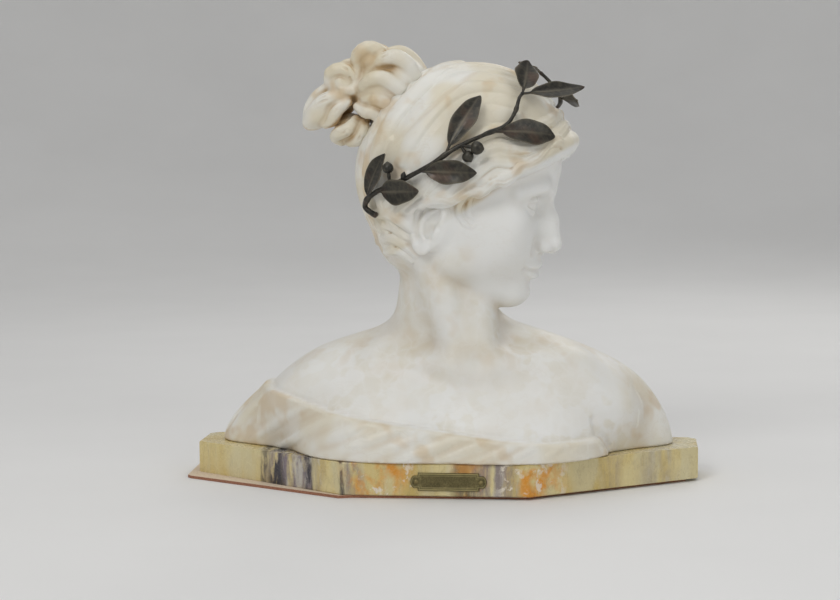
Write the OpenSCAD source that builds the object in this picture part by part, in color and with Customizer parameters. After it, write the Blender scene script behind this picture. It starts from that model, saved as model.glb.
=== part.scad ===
// Alabaster bust of a laureate on a canted marble slab.
// Z is up, the front of the shoulders faces -Y, and the head is turned towards +X.
// The origin is on the underside of the protective pad, below the middle of the slab.

/* [Slab] */
// Width of the marble slab
base_w = 450; // [440:2:470]
// Depth of the slab, back edge to front facet
base_d = 160; // [156:1:170]
// Length of the straight end before the front corner is canted
base_side = 54; // [40:1:70]
// Half width of the middle front facet
base_front_half = 80; // [70:1:95]
// Thickness of the slab
base_t = 28; // [26:1:34]
// Cant across each back corner
base_back_cant = 7; // [2:1:12]
// Bevel along the top and bottom arrises
base_arris = 1; // [0.5:0.1:2]

/* [Pad] */
// Thickness of the leather-board pad under the slab
pad_t = 2.5; // [1.5:0.5:4]

/* [Fixings] */
// Diameter of the tie rod
rod_d = 10; // [8:1:12]
// How far the tie rod reaches up into the bust
rod_up = 62; // [40:1:70]

/* [Head] */
// Forward tilt of the head
head_tilt = 15; // [12:1:17]
// Turn of the face from the side towards the front
head_turn = 4; // [0:1:8]
// Height of the head from chin to crown, without the hair
head_h = 182; // [178:1:184]

/* [Chignon] */
// Diameter of the dowel that carries the chignon
bun_dowel_d = 8; // [6:1:10]
// Length of the dowel
bun_dowel_len = 44; // [36:1:50]

/* [Laurel] */
// Gap between the stems and the hair
stem_gap = 5.5; // [5:0.5:7]
// Radius of a stem at its butt
stem_r0 = 2.6; // [2:0.1:3]
// Radius of a stem at its tip
stem_r1 = 1.5; // [1.2:0.1:2]
// Thickness of a leaf
leaf_t = 1.4; // [1:0.1:1.8]
// Radius of the pegs that plug the branches into the stone
peg_r = 1.5; // [1.2:0.1:1.8]
// Running clearance between a peg and its hole
peg_play = 0.06; // [0.03:0.01:0.08]

/* [Nameplate] */
// Overall length of the nameplate, point to point
plate_w = 65; // [55:1:80]
// Height of the nameplate
plate_h = 15.6; // [12:0.2:20]
// Thickness of the nameplate
plate_t = 1.4; // [1:0.1:2]

/* [Hidden] */
top_z = pad_t + base_t;      // seat of the bust
S = head_h / 200;            // head canon: every head size below is in 200ths of its height
HC = [23, 0, 282 + pad_t];   // middle of the skull
H0 = [-4, 0, 122];           // the same point in the head canon
alabaster = [0.90, 0.88, 0.84];
bronze = [0.20, 0.17, 0.13];

// ---------- rounded solids blended from ellipsoids ----------
// an ellipsoid is [centre, radii, tilt about Y, turn about Z, blend radius]
function ry(v, a) = [v[0] * cos(a) + v[2] * sin(a), v[1], -v[0] * sin(a) + v[2] * cos(a)];
function rz(v, a) = [v[0] * cos(a) - v[1] * sin(a), v[0] * sin(a) + v[1] * cos(a), v[2]];
// rough distance from p to an ellipsoid
function gap(p, e) = let (u = ry(rz(p - e[0], -e[3]), -e[2]), r = e[1], v = [u[0] / r[0], u[1] / r[1], u[2] / r[2]], k = norm(v), g = norm([v[0] / r[0], v[1] / r[1], v[2] / r[2]]))
    k < 0.001 ? -min(r) : k * (k - 1) / g;
function soft_min(a, b, k) = min(a, b) - pow(max(k - abs(a - b), 0), 2) / (4 * k);
function field(p, es, i = 0, d = 1000) = i == len(es) ? d : field(p, es, i + 1, soft_min(d, gap(p, es[i]), es[i][4]));
// walks in from radius r along d until the field is met
function walk(p, d, r, es, haired, n = 15) = n == 0 ? r : let (q = p + d * r, f = haired ? soft_min(field(q, es), hair(q), 5) : field(q, es))
    abs(f) < 0.05 ? r : walk(p, d, max(2.5, r - f), es, haired, n - 1);
// head canon to the part's frame
function hp(v) = HC + rz(ry((v - H0) * S, head_tilt), -head_turn);
function he(c, r, t = 0, k = 8) = [hp(c), r * S, head_tilt + t, -head_turn, k];
// the hair is one large ellipsoid cut back behind the hairline
HAIR = [[23, 0, 272 + pad_t], [98, 78, 96], 0, 0, 4];
BACK = rz(ry([-0.724, 0, 0.690], head_tilt), -head_turn);
function hair(p) = -soft_min(-gap(p, HAIR), BACK * (p - hp([84, 0, 146])), 9);
function up(e) = [e[0] + [0, 0, pad_t], e[1], e[2], e[3], e[4]];

BODY = [for (e = [
    [[12, -2, 8], [128, 77, 112], 0, 0, 20],         // chest
    [[0, 36, 38], [126, 38, 80], 0, 0, 20],          // upper back
    [[108, 36, 16], [98, 39, 97], 0, 8, 20],         // left shoulder
    [[-108, 36, 12], [97, 39, 96], 0, -8, 18],       // right shoulder
    [[56, 26, 108], [84, 30, 32], 23, 0, 22],        // trapezius, left
    [[-46, 28, 102], [80, 30, 31], -24, 0, 20],      // trapezius, right
    [[2, 12, 155], [44, 45, 92], 0, 0, 28]           // neck
]) up(e)];
HEAD = [
    he([-4, 0, 122], [86, 68, 78]),                  // skull
    he([28, 0, 72], [54, 55, 62]),                   // face
    he([40, 0, 40], [44, 42, 38], 0, 14),            // jaw
    he([69, 0, 13], [16, 18, 13], 0, 14),            // chin
    he([78, 0, 42], [13, 21, 16], 0, 12),            // mouth
    he([76, 0, 116], [13, 46, 12], 0, 12),           // brow
    he([88, 0, 78], [10, 9, 26], -24, 10),           // nose, bridge
    he([95, 0, 67], [12, 12, 9], 0, 6),              // nose, tip
    up([[-20, 0, 214], [38, 48, 34], 0, 0, 12]),     // hair gathered over the nape
    he([-10, 62, 74], [17, 11, 28], 10, 3),          // left ear
    he([-10, -62, 74], [17, 11, 28], 10, 3)          // right ear
];
WHOLE = concat(BODY, HEAD);
LEVELS = concat([for (z = [0:7:112]) z], [for (z = [117:5:137]) z], [for (z = [141:4:233]) z], [for (z = [238:6:322]) z], [326, 330, 333, 335.5, 337.5, 339, 340]);
function near(z) = [for (e = WHOLE) if (abs(e[0][2] - z) < max(e[1]) + e[4]) e];
function spine(z) = let (k = min(1, max(0, (z - 120) / 60))) [2 + 21 * k, 14 * (1 - k), 0];
// closes a stack of rings of n points; the ends are flat, or drawn to the points a0 and a1
module skin(rings, n, a0 = undef, a1 = undef) {
    m = len(rings);
    peaked = !is_undef(a0);
    pts = concat([for (r = rings) each r], peaked ? [a0, a1] : []);
    ends = peaked
        ? [for (j = [0:n - 1]) each [[m * n, j, (j + 1) % n], [m * n + 1, (m - 1) * n + (j + 1) % n, (m - 1) * n + j]]]
        : [[for (j = [0:n - 1]) j], [for (j = [n - 1:-1:0]) (m - 1) * n + j]];
    polyhedron(points = pts, faces = concat(ends,
        [for (i = [0:m - 2]) for (j = [0:n - 1]) each let (a = i * n + j, b = i * n + (j + 1) % n, c = a + n, d = b + n)
            [[a, c, b], [b, c, d]]]), convexity = 6);
}
BN = 64;
// directions crowd together towards the face
function level_ring(z) = let (s = spine(z), es = near(top_z + z), k = z > 125 ? 30 : 0) [for (j = [0:BN - 1])
    let (u = 360 * j / BN, a = u - k * sin(u) - head_turn * k / 30, d = [cos(a), sin(a), 0], p = [s[0], s[1], top_z + z]) p + d * walk(p, d, 240, es, z > 130)];
module bust_skin() skin([for (z = LEVELS) level_ring(z)], BN);

// ---------- chignon ----------
BUN_A = -48.95;                                   // lean of the joint's normal from the vertical
BUN_N = [sin(BUN_A), 0, cos(BUN_A)];
BUN_C = [23, 0, 272 + pad_t];
BUN_D = 90;                                       // joint plane, from the middle of the hair
BUN_SEAT = BUN_C + BUN_N * BUN_D;
LOOPS = [for (e = [
    [[-48, 0, 343], [32, 34, 32], 20, 0, 8],         // body of the knot
    [[-58, -8, 370], [16, 19, 16], 0, 0, 4],         // top loop
    [[-34, -4, 352], [22, 30, 24], 30, 0, 4],        // large loop next to the crown
    [[-46, 4, 318], [20, 31, 18], 0, 0, 4],          // under loop
    [[-84, -4, 348], [20, 21, 19], 0, 0, 4],         // rear upper loop
    [[-102, 0, 328], [28, 22, 15], -40, 0, 4],       // rear loop
    [[-80, 2, 310], [17, 23, 17], 0, 0, 4]           // hanging loop
]) up(e)];
BUN_P = [-62, 0, 336 + pad_t];
UN = 40;
VN = 22;
module bun_skin() skin([for (i = [0:VN]) let (v = -87 + 174 * i / VN)
    [for (j = [0:UN - 1]) let (a = 360 * j / UN, d = [cos(v) * cos(a), cos(v) * sin(a), sin(v)]) BUN_P + d * walk(BUN_P, d, 90, LOOPS, false)]], UN);
module at_bun() translate(BUN_SEAT) rotate([0, BUN_A, 0]) children();

// ---------- laurel ----------
WC = [23, 0, 272 + pad_t];                        // middle of the hair, which the branches follow
WR = [98, 78, 96];
function shell(az, el, h) = let (r = WR + [h, h, h]) WC + [r[0] * cos(el) * cos(az), r[1] * cos(el) * sin(az), r[2] * sin(el)];
function outward(p) = let (v = [(p[0] - WC[0]) / pow(WR[0], 2), (p[1] - WC[1]) / pow(WR[1], 2), (p[2] - WC[2]) / pow(WR[2], 2)]) v / norm(v);
// stem stations: [azimuth, elevation, height over the hair]
STEM = [[-142, -21, 3.6], [-148.5, -16.5, 6], [-143, -11.5, 6.5], [-132, -7, 6], [-120, -3, 5.5], [-104, 5, 5.5], [-92, 13, 5.5], [-79, 19, 5.5],
    [-67, 24, 5.5], [-60, 31, 6], [-55, 38, 7], [-51, 41, 8]];
STEM_L = [[142, -21, 3.6], [148.5, -16.5, 6], [143, -11.5, 6.5], [130, -7, 6], [118, -2, 5.5], [102, 6, 5.5], [88, 13, 5.5], [74, 20, 5.5],
    [60, 25, 6], [42, 30, 7], [22, 36, 8], [8, 46, 9], [5, 55, 10.5]];
function cr(p, i, t) = let (n = len(p) - 1, a = p[max(i - 1, 0)], b = p[i], c = p[min(i + 1, n)], d = p[min(i + 2, n)])
    0.5 * (2 * b + (c - a) * t + (2 * a - 5 * b + 4 * c - d) * t * t + (3 * b - a - 3 * c + d) * t * t * t);
function station(p, u) = let (n = len(p) - 1, w = min(max(u, 0), 0.99999) * n, i = floor(w)) cr(p, i, w - i);
function on_stem(p, u) = let (s = station(p, u)) shell(s[0], s[1], s[2] + stem_gap - 5.5);
function unit(v) = v / norm(v);
function run_dir(p, u) = unit(on_stem(p, min(u + 0.01, 1)) - on_stem(p, max(u - 0.01, 0)));
module stem(p) {
    m = 44;
    n = 8;
    skin([for (i = [0:m]) let (u = i / m, o = on_stem(p, u), t = run_dir(p, u), b = unit(cross(t, outward(o))), w = cross(t, b),
            knuckle = 0.35 * exp(-pow((u * 6 - round(u * 6)) * 7, 2)), r = stem_r0 + (stem_r1 - stem_r0) * u + knuckle)
        [for (j = [0:n - 1]) o + (b * cos(360 * j / n) + w * sin(360 * j / n)) * r]], n);
}
// a point at a, b in the plane tangent at the leaf's foot, dropped onto the hair's outer shell at height h
function drop(o, t, b, x, y, h) = let (q = o + t * x + b * y - WC, k = 1 / norm([q[0] / (WR[0] + h), q[1] / (WR[1] + h), q[2] / (WR[2] + h)])) WC + q * k;
// leaf rows: [place along the stem, angle from the stem, length, width, height at foot, height at tip, fold]
LEAVES = [
    [0.16, 20, 51, 17.5, 6, 9, 3.0],
    [0.25, -21, 43, 22, 6, 7, 3.0],
    [0.42, -28, 52, 21, 5.5, 6.5, 3.0],
    [0.505, 29, 66, 20, 6, 9, 3.0],
    [0.668, -20, 66, 23, 5.5, 7, 3.0],
    [0.995, 18, 40, 22, 8, 17, 3.0],
    [0.985, -40, 60, 17, 8, 30, 3.0]
];
LEAVES_L = [
    [0.15, -24, 48, 18, 6, 9, 3.0],
    [0.23, 24, 43, 22, 6, 7, 3.0],
    [0.37, 30, 54, 21, 5.5, 6.5, 3.0],
    [0.455, -28, 64, 20, 6, 9, 3.0],
    [0.59, 22, 60, 24, 5.5, 7, 3.0],
    [0.99, 16, 24, 18, 10.5, 9, 2.0],
    [0.85, 50, 29, 20, 9, 16, 3.0]
];
function leaf_w(s) = s < 0.14 ? 0.09 + 0.25 * s : 0.125 + 0.875 * pow(max(0, sin(180 * pow((s - 0.14) / 0.86, 0.9))), 0.8);
function leaf_pt(p, row, s, v, side) = let (
        o = on_stem(p, row[0]), t0 = run_dir(p, row[0]), n0 = outward(o), b0 = unit(cross(n0, t0)),
        t = t0 * cos(row[1]) + b0 * sin(row[1]), b = unit(cross(n0, t)),
        w = row[3] / 2 * leaf_w(s),
        h = row[4] + (row[5] - row[4]) * s * s + row[6] * abs(v) * sin(180 * s) + side * leaf_t / 2)
    drop(o, t, b, row[2] * s, w * v, h);
module leaf(p, row) {
    m = 13;
    k = 2;
    q = row[2];
    skin([for (i = [0:m]) let (s = i / m)
        concat([for (j = [-k:k]) leaf_pt(p, row, s, j / k, -1)], [for (j = [k:-1:-k]) leaf_pt(p, row, s, j / k, 1)])], 4 * k + 2,
        leaf_pt(p, row, -0.6 / q, 0, 0), leaf_pt(p, row, 1 + 1.2 / q, 0, 0));
}
module rod_between(a, b, r) {
    v = b - a;
    translate(a) rotate([0, acos(v[2] / norm(v)), atan2(v[1], v[0])]) cylinder(r = r, h = norm(v), $fn = 24);
}
// berry rows: [place along the stem, along, across, radius, height]
module berries(p, rows) for (q = rows) {
    o = on_stem(p, q[0]);
    t = run_dir(p, q[0]);
    b = unit(cross(outward(o), t));
    c = drop(o, t, b, q[1], q[2], q[4]);
    union() {
        translate(c) sphere(r = q[3], $fn = 32);
        rod_between(o + unit(c - o) * 1.5, c, 1.2);
    }
}
BERRIES_1 = [[0.32, 3.6, 14.6, 4.7, 7]];
BERRIES_2 = [[0.56, 10.6, -9.1, 5.6, 10.5], [0.56, 1.3, -11.3, 4.9, 5.6]];
BERRIES_L1 = [[0.285, 3.6, -14.6, 4.7, 7]];
BERRIES_L2 = [[0.50, 10.6, 9.1, 5.6, 10.5], [0.50, 1.0, 11.6, 4.9, 5.6]];
// pegs run across the head, along the way a branch pulls off: [x, z, y at the stone, y at the stem]
PEGS = [for (u = [0.275, 0.80]) on_stem(STEM, u)];
PEGS_L = [for (u = [0.255, 0.66]) on_stem(STEM_L, u)];
module peg(o, side, r, more = 0, deep = 0) translate([o[0], o[1] - side * more, o[2]]) rotate([side * -90, 0, 0]) cylinder(r = r, h = 24 + more + deep, $fn = 32);

// ---------- slab ----------
function slab_outline(g = 0) = let (w = base_w / 2 - g, d = base_d / 2 - g, c = base_back_cant)
    [[-w, d - c], [-w, d - base_side], [-base_front_half, -d], [base_front_half, -d], [w, d - base_side], [w, d - c], [w - c, d], [-w + c, d]];
module slab_body() hull() {
    translate([0, 0, pad_t + base_arris]) linear_extrude(base_t - 2 * base_arris) polygon(slab_outline());
    translate([0, 0, pad_t]) linear_extrude(base_t) polygon(slab_outline(base_arris));
}
PLATE = [12, -base_d / 2, pad_t + 12.5];
PIN_X = plate_w / 2 - 5;
module at_plate() translate(PLATE) rotate([90, 0, 0]) children();
module plate_shape() {
    square([plate_w - 13, plate_h], center = true);
    intersection() {
        square([plate_w, plate_h - 5], center = true);
        union() for (s = [-1, 1]) translate([s * (plate_w / 2 - 6.5), 0]) circle(r = 6.5, $fn = 48);
    }
}

module base_slab() color([0.72, 0.64, 0.40]) difference() {
    slab_body();
    translate([0, 12, -1]) cylinder(d = rod_d + 2, h = base_t + 10, $fn = 48);
    translate([0, 12, -1]) cylinder(d = 32, h = pad_t + 1 + 13, $fn = 64);
    at_plate() for (s = [-1, 1]) translate([s * PIN_X, 0, -9]) cylinder(r = 1.05, h = 12, $fn = 24);
}
module base_pad() color([0.86, 0.76, 0.62]) linear_extrude(pad_t)
    polygon([[-234, 68], [-232, 8], [-228, 3], [-82, -82], [-70, -78], [76, -74], [214, 24], [216, 72], [212, 75], [-229, 73]]);
module nameplate() color([0.30, 0.27, 0.14]) at_plate() difference() {
    union() {
        linear_extrude(plate_t) plate_shape();
        linear_extrude(plate_t + 0.5) difference() {
            square([plate_w - 13, plate_h], center = true);
            square([plate_w, plate_h - 5], center = true);
        }
    }
    for (s = [-1, 1]) translate([s * PIN_X, 0, -1]) cylinder(r = 1.05, h = 5, $fn = 24);
}
module nameplate_pins() color([0.45, 0.40, 0.28]) at_plate() for (s = [-1, 1]) translate([s * PIN_X, 0, 0]) union() {
    translate([0, 0, -7]) cylinder(r = 1, h = 7 + plate_t + 0.4, $fn = 24);
    translate([0, 0, plate_t]) intersection() {
        translate([0, 0, -1.2]) sphere(r = 2.3, $fn = 32);
        cylinder(r = 3, h = 3, $fn = 32);
    }
}
module tie_rod() color([0.55, 0.55, 0.56]) translate([0, 12, pad_t + 0.8]) cylinder(d = rod_d, h = base_t - 0.8 + rod_up, $fn = 48);
module tie_washer() color([0.6, 0.6, 0.6]) translate([0, 12, pad_t + 11]) difference() {
    cylinder(d = 28, h = 2, $fn = 48);
    translate([0, 0, -1]) cylinder(d = rod_d + 0.6, h = 4, $fn = 48);
}
module tie_nut() color([0.5, 0.5, 0.52]) translate([0, 12, pad_t + 3]) difference() {
    cylinder(d = rod_d * 1.7 / cos(30), h = 8, $fn = 6);
    translate([0, 0, -1]) cylinder(d = rod_d, h = 10, $fn = 48);
}
module anchor_plug() color([0.78, 0.76, 0.70]) translate([0, 12, top_z + 4]) difference() {
    cylinder(d = rod_d + 10, h = rod_up - 4, $fn = 48);
    translate([0, 0, -1]) cylinder(d = rod_d, h = rod_up, $fn = 48);
}
module bust_block() color(alabaster) difference() {
    bust_skin();
    translate([0, 12, top_z - 5]) cylinder(d = rod_d + 10.1, h = 5 + rod_up + 0.5, $fn = 48);
    at_bun() cylinder(r = 62, h = 60, $fn = 64);
    at_bun() translate([0, 0, -bun_dowel_len / 2 - 0.5]) cylinder(d = bun_dowel_d + 0.1, h = bun_dowel_len, $fn = 48);
    for (o = PEGS) peg(o, 1, peg_r + peg_play, 14, 0.6);
    for (o = PEGS_L) peg(o, -1, peg_r + peg_play, 14, 0.6);
}
module chignon() color([0.88, 0.80, 0.66]) difference() {
    bun_skin();
    at_bun() translate([-90, -90, -120]) cube([180, 180, 120]);
    at_bun() translate([0, 0, -5]) cylinder(d = bun_dowel_d + 0.1, h = 5 + bun_dowel_len / 2 + 0.5, $fn = 48);
}
module chignon_dowel() color([0.70, 0.58, 0.30]) at_bun() translate([0, 0, -bun_dowel_len / 2]) cylinder(d = bun_dowel_d, h = bun_dowel_len, $fn = 48);
module stem_right() color(bronze) stem(STEM);
module stem_left() color(bronze) stem(STEM_L);
module pegs_right() color(bronze) for (o = PEGS) peg(o, 1, peg_r);
module pegs_left() color(bronze) for (o = PEGS_L) peg(o, -1, peg_r);

base_slab();
base_pad();
nameplate();
nameplate_pins();
tie_rod();
tie_washer();
tie_nut();
anchor_plug();
bust_block();
chignon();
chignon_dowel();
stem_right();
pegs_right();
color(bronze) leaf(STEM, LEAVES[0]);  // leaf_r1
color(bronze) leaf(STEM, LEAVES[1]);  // leaf_r2
color(bronze) leaf(STEM, LEAVES[2]);  // leaf_r3
color(bronze) leaf(STEM, LEAVES[3]);  // leaf_r4
color(bronze) leaf(STEM, LEAVES[4]);  // leaf_r5
color(bronze) leaf(STEM, LEAVES[5]);  // leaf_r6
color(bronze) leaf(STEM, LEAVES[6]);  // leaf_r7
color(bronze) berries(STEM, BERRIES_1);  // berries_r1
color(bronze) berries(STEM, BERRIES_2);  // berries_r2
stem_left();
pegs_left();
color(bronze) leaf(STEM_L, LEAVES_L[0]);  // leaf_l1
color(bronze) leaf(STEM_L, LEAVES_L[1]);  // leaf_l2
color(bronze) leaf(STEM_L, LEAVES_L[2]);  // leaf_l3
color(bronze) leaf(STEM_L, LEAVES_L[3]);  // leaf_l4
color(bronze) leaf(STEM_L, LEAVES_L[4]);  // leaf_l5
color(bronze) leaf(STEM_L, LEAVES_L[5]);  // leaf_l6
color(bronze) leaf(STEM_L, LEAVES_L[6]);  // leaf_l7
color(bronze) berries(STEM_L, BERRIES_L1);  // berries_l1
color(bronze) berries(STEM_L, BERRIES_L2);  // berries_l2
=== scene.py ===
import math
import bpy
import numpy as np
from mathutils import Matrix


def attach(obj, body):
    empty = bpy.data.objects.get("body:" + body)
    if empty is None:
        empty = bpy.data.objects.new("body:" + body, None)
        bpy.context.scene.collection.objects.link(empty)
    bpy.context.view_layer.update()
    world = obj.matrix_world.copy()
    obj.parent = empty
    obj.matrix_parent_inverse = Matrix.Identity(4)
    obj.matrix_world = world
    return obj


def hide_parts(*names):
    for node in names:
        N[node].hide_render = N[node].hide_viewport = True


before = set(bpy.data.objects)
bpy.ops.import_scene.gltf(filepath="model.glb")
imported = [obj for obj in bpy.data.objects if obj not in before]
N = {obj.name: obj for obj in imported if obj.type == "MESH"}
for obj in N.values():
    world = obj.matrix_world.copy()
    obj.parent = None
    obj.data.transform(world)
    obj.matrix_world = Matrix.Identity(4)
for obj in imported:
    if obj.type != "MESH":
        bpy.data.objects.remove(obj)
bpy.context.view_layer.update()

import openvdb as vdb
from mathutils import Matrix

f32 = np.float32
PAD = 2.5
TOP = 30.5
S = 0.91
HC = np.array([23.0, 0.0, 284.5])
H0 = np.array([-4.0, 0.0, 122.0])
RAD = math.pi / 180


# ------------------------------------------------------------------ small vector tools
def V(*a):
    return np.array(a, float)


def unit(v):
    v = np.asarray(v, float)
    return v / np.linalg.norm(v)


def rot(axis, deg):
    a = deg * RAD
    c, s = math.cos(a), math.sin(a)
    if axis == "x":
        return np.array([[1, 0, 0], [0, c, -s], [0, s, c]])
    if axis == "y":
        return np.array([[c, 0, s], [0, 1, 0], [-s, 0, c]])
    return np.array([[c, -s, 0], [s, c, 0], [0, 0, 1]])


RH = rot("z", -4) @ rot("y", 15)


def hp(x, y, z):
    """A place in the head's own canon, 200 units from chin to crown, as a place in the part's frame in mm."""
    return HC + RH @ ((V(x, y, z) - H0) * S)


def spline(pts, n):
    """n points on a smooth line through pts, with any extra columns carried along."""
    p = np.asarray(pts, float)
    m = len(p) - 1
    u = np.linspace(0, m - 1e-9, n)
    i = u.astype(int)
    t = (u - i)[:, None]
    a, b, c, d = p[np.maximum(i - 1, 0)], p[i], p[i + 1], p[np.minimum(i + 2, m)]
    return 0.5 * (2 * b + (c - a) * t + (2 * a - 5 * b + 4 * c - d) * t * t + (3 * b - a - 3 * c + d) * t**3)


def smin(a, b, k):
    h = np.maximum(k - np.abs(a - b), 0)
    return np.minimum(a, b) - h * h * (0.25 / k)


def smax(a, b, k):
    return -smin(-a, -b, k)


def step01(a, b, x):
    t = np.clip((x - a) / (b - a), 0, 1)
    return t * t * (3 - 2 * t)


# ------------------------------------------------------------------ distance shapes
def ell(c, r, R=np.eye(3)):
    c, r, R = np.asarray(c, f32), np.asarray(r, f32), np.asarray(R, f32)

    def d(P):
        q = (P - c) @ R / r
        k0 = np.sqrt((q * q).sum(-1)) + 1e-6
        g = q / r
        k1 = np.sqrt((g * g).sum(-1)) + 1e-6
        return k0 * (k0 - 1) / k1

    return d, c, float(r.max())


def cap(a, b, ra, rb):
    a, b = np.asarray(a, f32), np.asarray(b, f32)
    ba = b - a
    L = float(ba @ ba) + 1e-9

    def d(P):
        pa = P - a
        h = np.clip(pa @ ba / L, 0, 1)
        q = pa - h[..., None] * ba
        return np.sqrt((q * q).sum(-1)) - (ra + (rb - ra) * h)

    return d, (a + b) / 2, float(np.sqrt(L)) / 2 + max(ra, rb)


def tube(pts, radii, n=16, k=0.0):
    p = spline(np.column_stack([pts, radii]), n).astype(f32)
    lo, hi = p[:, :3].min(0), p[:, :3].max(0)
    segs = [cap(p[i, :3], p[i + 1, :3], p[i, 3], p[i + 1, 3])[0] for i in range(n - 1)]

    def d(P):
        out = segs[0](P)
        for s in segs[1:]:
            out = np.minimum(out, s(P))
        return out

    return d, (lo + hi) / 2, float(np.linalg.norm(hi - lo)) / 2 + float(p[:, 3].max())


class Clay:
    """Distances at blocks of points: P is (blocks, points, 3), and shapes are added only to the blocks near them."""

    def __init__(self, P, C, R):
        self.P, self.C, self.R = P.astype(f32), C.astype(f32), R
        self.D = np.full(P.shape[:2], 300, f32)
        self.H = np.zeros(P.shape[:2], f32)

    def near(self, c, r):
        return np.nonzero(((self.C - np.asarray(c, f32)) ** 2).sum(-1) < (r + self.R) ** 2)[0]

    def add(self, shape, k=4.0):
        d, c, r = shape
        i = self.near(c, r + 1.8 * k + 8)
        if len(i):
            self.D[i] = smin(self.D[i], d(self.P[i]), k)

    def cut(self, shape, k=4.0):
        d, c, r = shape
        i = self.near(c, r + 1.8 * k + 8)
        if len(i):
            self.D[i] = smax(self.D[i], -d(self.P[i]), k)

    def stroke(self, pts, width, amp, n=14, strands=0, groove=0.16, soft=False, normal=None):
        """A ridge along a line on the surface. With strands, fine grooves run along it. Ridges meet in creases. soft gives a rounded swelling or, with amp under 0, a hollow."""
        p = spline(np.column_stack([pts, np.broadcast_to(width, len(pts)), np.broadcast_to(amp, len(pts))]), n).astype(f32)
        lo, hi = p[:, :3].min(0), p[:, :3].max(0)
        reach = float(p[:, 3].max()) * (2.2 if soft else 1.0)
        i = self.near((lo + hi) / 2, float(np.linalg.norm(hi - lo)) / 2 + reach)
        if not len(i):
            return
        # drop the blocks that no segment comes near
        Q = self.C[i]
        best = np.full(len(i), 1e9, f32)
        for j in range(n - 1):
            a, ba = p[j, :3], p[j + 1, :3] - p[j, :3]
            h = np.clip((Q - a) @ ba / (ba @ ba + 1e-9), 0, 1)
            best = np.minimum(best, np.sqrt((((Q - a) - h[:, None] * ba) ** 2).sum(-1)))
        i = i[best < reach + self.R]
        if not len(i):
            return
        P = self.P[i]
        best = np.full(P.shape[:2], 1e9, f32)
        side = np.zeros(P.shape[:2], f32)
        wid = np.ones(P.shape[:2], f32)
        amps = np.zeros(P.shape[:2], f32)
        run = np.zeros(P.shape[:2], f32)
        for j in range(n - 1):
            a, ba = p[j, :3], p[j + 1, :3] - p[j, :3]
            pa = P - a
            h = np.clip(pa @ ba / (ba @ ba + 1e-9), 0, 1)
            q = pa - h[..., None] * ba
            d = np.sqrt((q * q).sum(-1))
            m = d < best
            best[m] = d[m]
            hm = h[m]
            wid[m] = p[j, 3] + (p[j + 1, 3] - p[j, 3]) * hm
            amps[m] = p[j, 4] + (p[j + 1, 4] - p[j, 4]) * hm
            if strands:
                out = (p[j, :3] - np.asarray(normal, f32)) / np.asarray([98, 78, 96], f32) ** 2
                b = np.cross(ba, out)
                b /= np.linalg.norm(b) + 1e-9
                side[m] = (q @ b)[m]
                run[m] = (j + hm) / (n - 1)
        t = best / wid
        if soft:
            self.D[i] -= amps * np.exp(-t * t * 2.2)
            return
        prof = np.clip(1 - t * t, 0, None)
        if strands:
            prof = prof * (1 - groove * (0.5 + 0.5 * np.cos(side / wid * math.pi * strands + 1.7 * np.sin(run * 5.0))))
        self.H[i] = np.maximum(self.H[i], amps * prof)


# ------------------------------------------------------------------ the grown line of sight used to place strokes
CAM = V(160.18, -1746.36, 319.84)


def sight(pairs):
    """Rays from the front viewpoint through (x, z) places on the plane y = 0."""
    q = np.array([[x, 0, z] for x, z in pairs], float)
    d = q - CAM
    return d / np.linalg.norm(d, axis=1)[:, None]


# ------------------------------------------------------------------ anatomy
HAIR_C, HAIR_R = V(23, 0, 274.5), V(98, 78, 96)
# the opening in the hair that shows the ear and cheek, looked at from the side
EAR_X, EAR_TOP = V(-40, -18, 13, 33, 50, 73, 96), V(243, 247, 249, 258, 264, 275, 292)
EAR_Z, EAR_REAR = V(180, 194, 204, 218, 230, 245), V(-30, -27, -24, -19, -19, -18)
HAIRLINE_N = RH @ V(-0.724, 0, 0.690)
HAIRLINE_P = hp(84, 0, 146) + HAIRLINE_N * 9


def body(c):
    up = V(0, 0, PAD)
    for p, r, ry, rz, k in [
        ((12, -2, 8), (126, 76, 110), 0, 0, 20), ((0, 36, 38), (124, 37, 79), 0, 0, 20),
        ((108, 35, 16), (97, 39, 97), 0, 8, 46), ((-108, 35, 12), (97, 39, 96), 0, -8, 46),
        ((56, 25, 108), (83, 29, 31), 23, 0, 24), ((-46, 27, 102), (79, 29, 31), -24, 0, 22),
        ((1, 12, 155), (41, 43, 90), 0, 0, 28),
    ]:
        c.add(ell(V(*p) + up, r, rot("z", rz) @ rot("y", ry)), k)
    # muscles of the neck
    c.add(cap(hp(-20, -38, 44), V(20, -35, 112), 15, 9), 22)
    c.add(cap(hp(-14, 38, 44), V(40, -30, 112), 14, 9), 22)
    c.add(cap(V(30, -8, 178), V(32, -32, 124), 15, 11), 20)
    # collar bones and the hollows beside the neck
    c.add(tube([(22, -43, 107), (-10, -34, 111), (-50, -18, 112)], (5, 4.5, 4), 8), 22)
    c.add(tube([(44, -41, 107), (84, -26, 111), (116, -6, 108)], (5, 4.5, 4), 8), 22)
    # the slope from the neck to the arms
    c.add(ell(V(-78, 8, 84), (72, 40, 34), rot("y", -14)), 34)
    c.add(ell(V(96, 8, 80), (72, 40, 34), rot("y", 14)), 34)
    c.cut(ell(V(33, -62, 115), (9, 9, 9)), 18)
    c.cut(ell(V(-40, -34, 136), (24, 11, 9)), 16)
    c.cut(ell(V(88, -26, 134), (22, 11, 8)), 16)
    # breasts under the drape
    c.add(ell(V(-56, -30, 30), (52, 40, 48)), 40)
    c.add(ell(V(72, -30, 28), (50, 38, 48)), 40)
    # her right shoulder falls away in a straight slope
    n0, q0 = V(-0.727, 0, 0.687).astype(f32), V(-162.4, 0, 82).astype(f32)
    c.cut((lambda P: -((P - q0) @ n0), V(-165, 20, 80), 110), 16)


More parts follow.
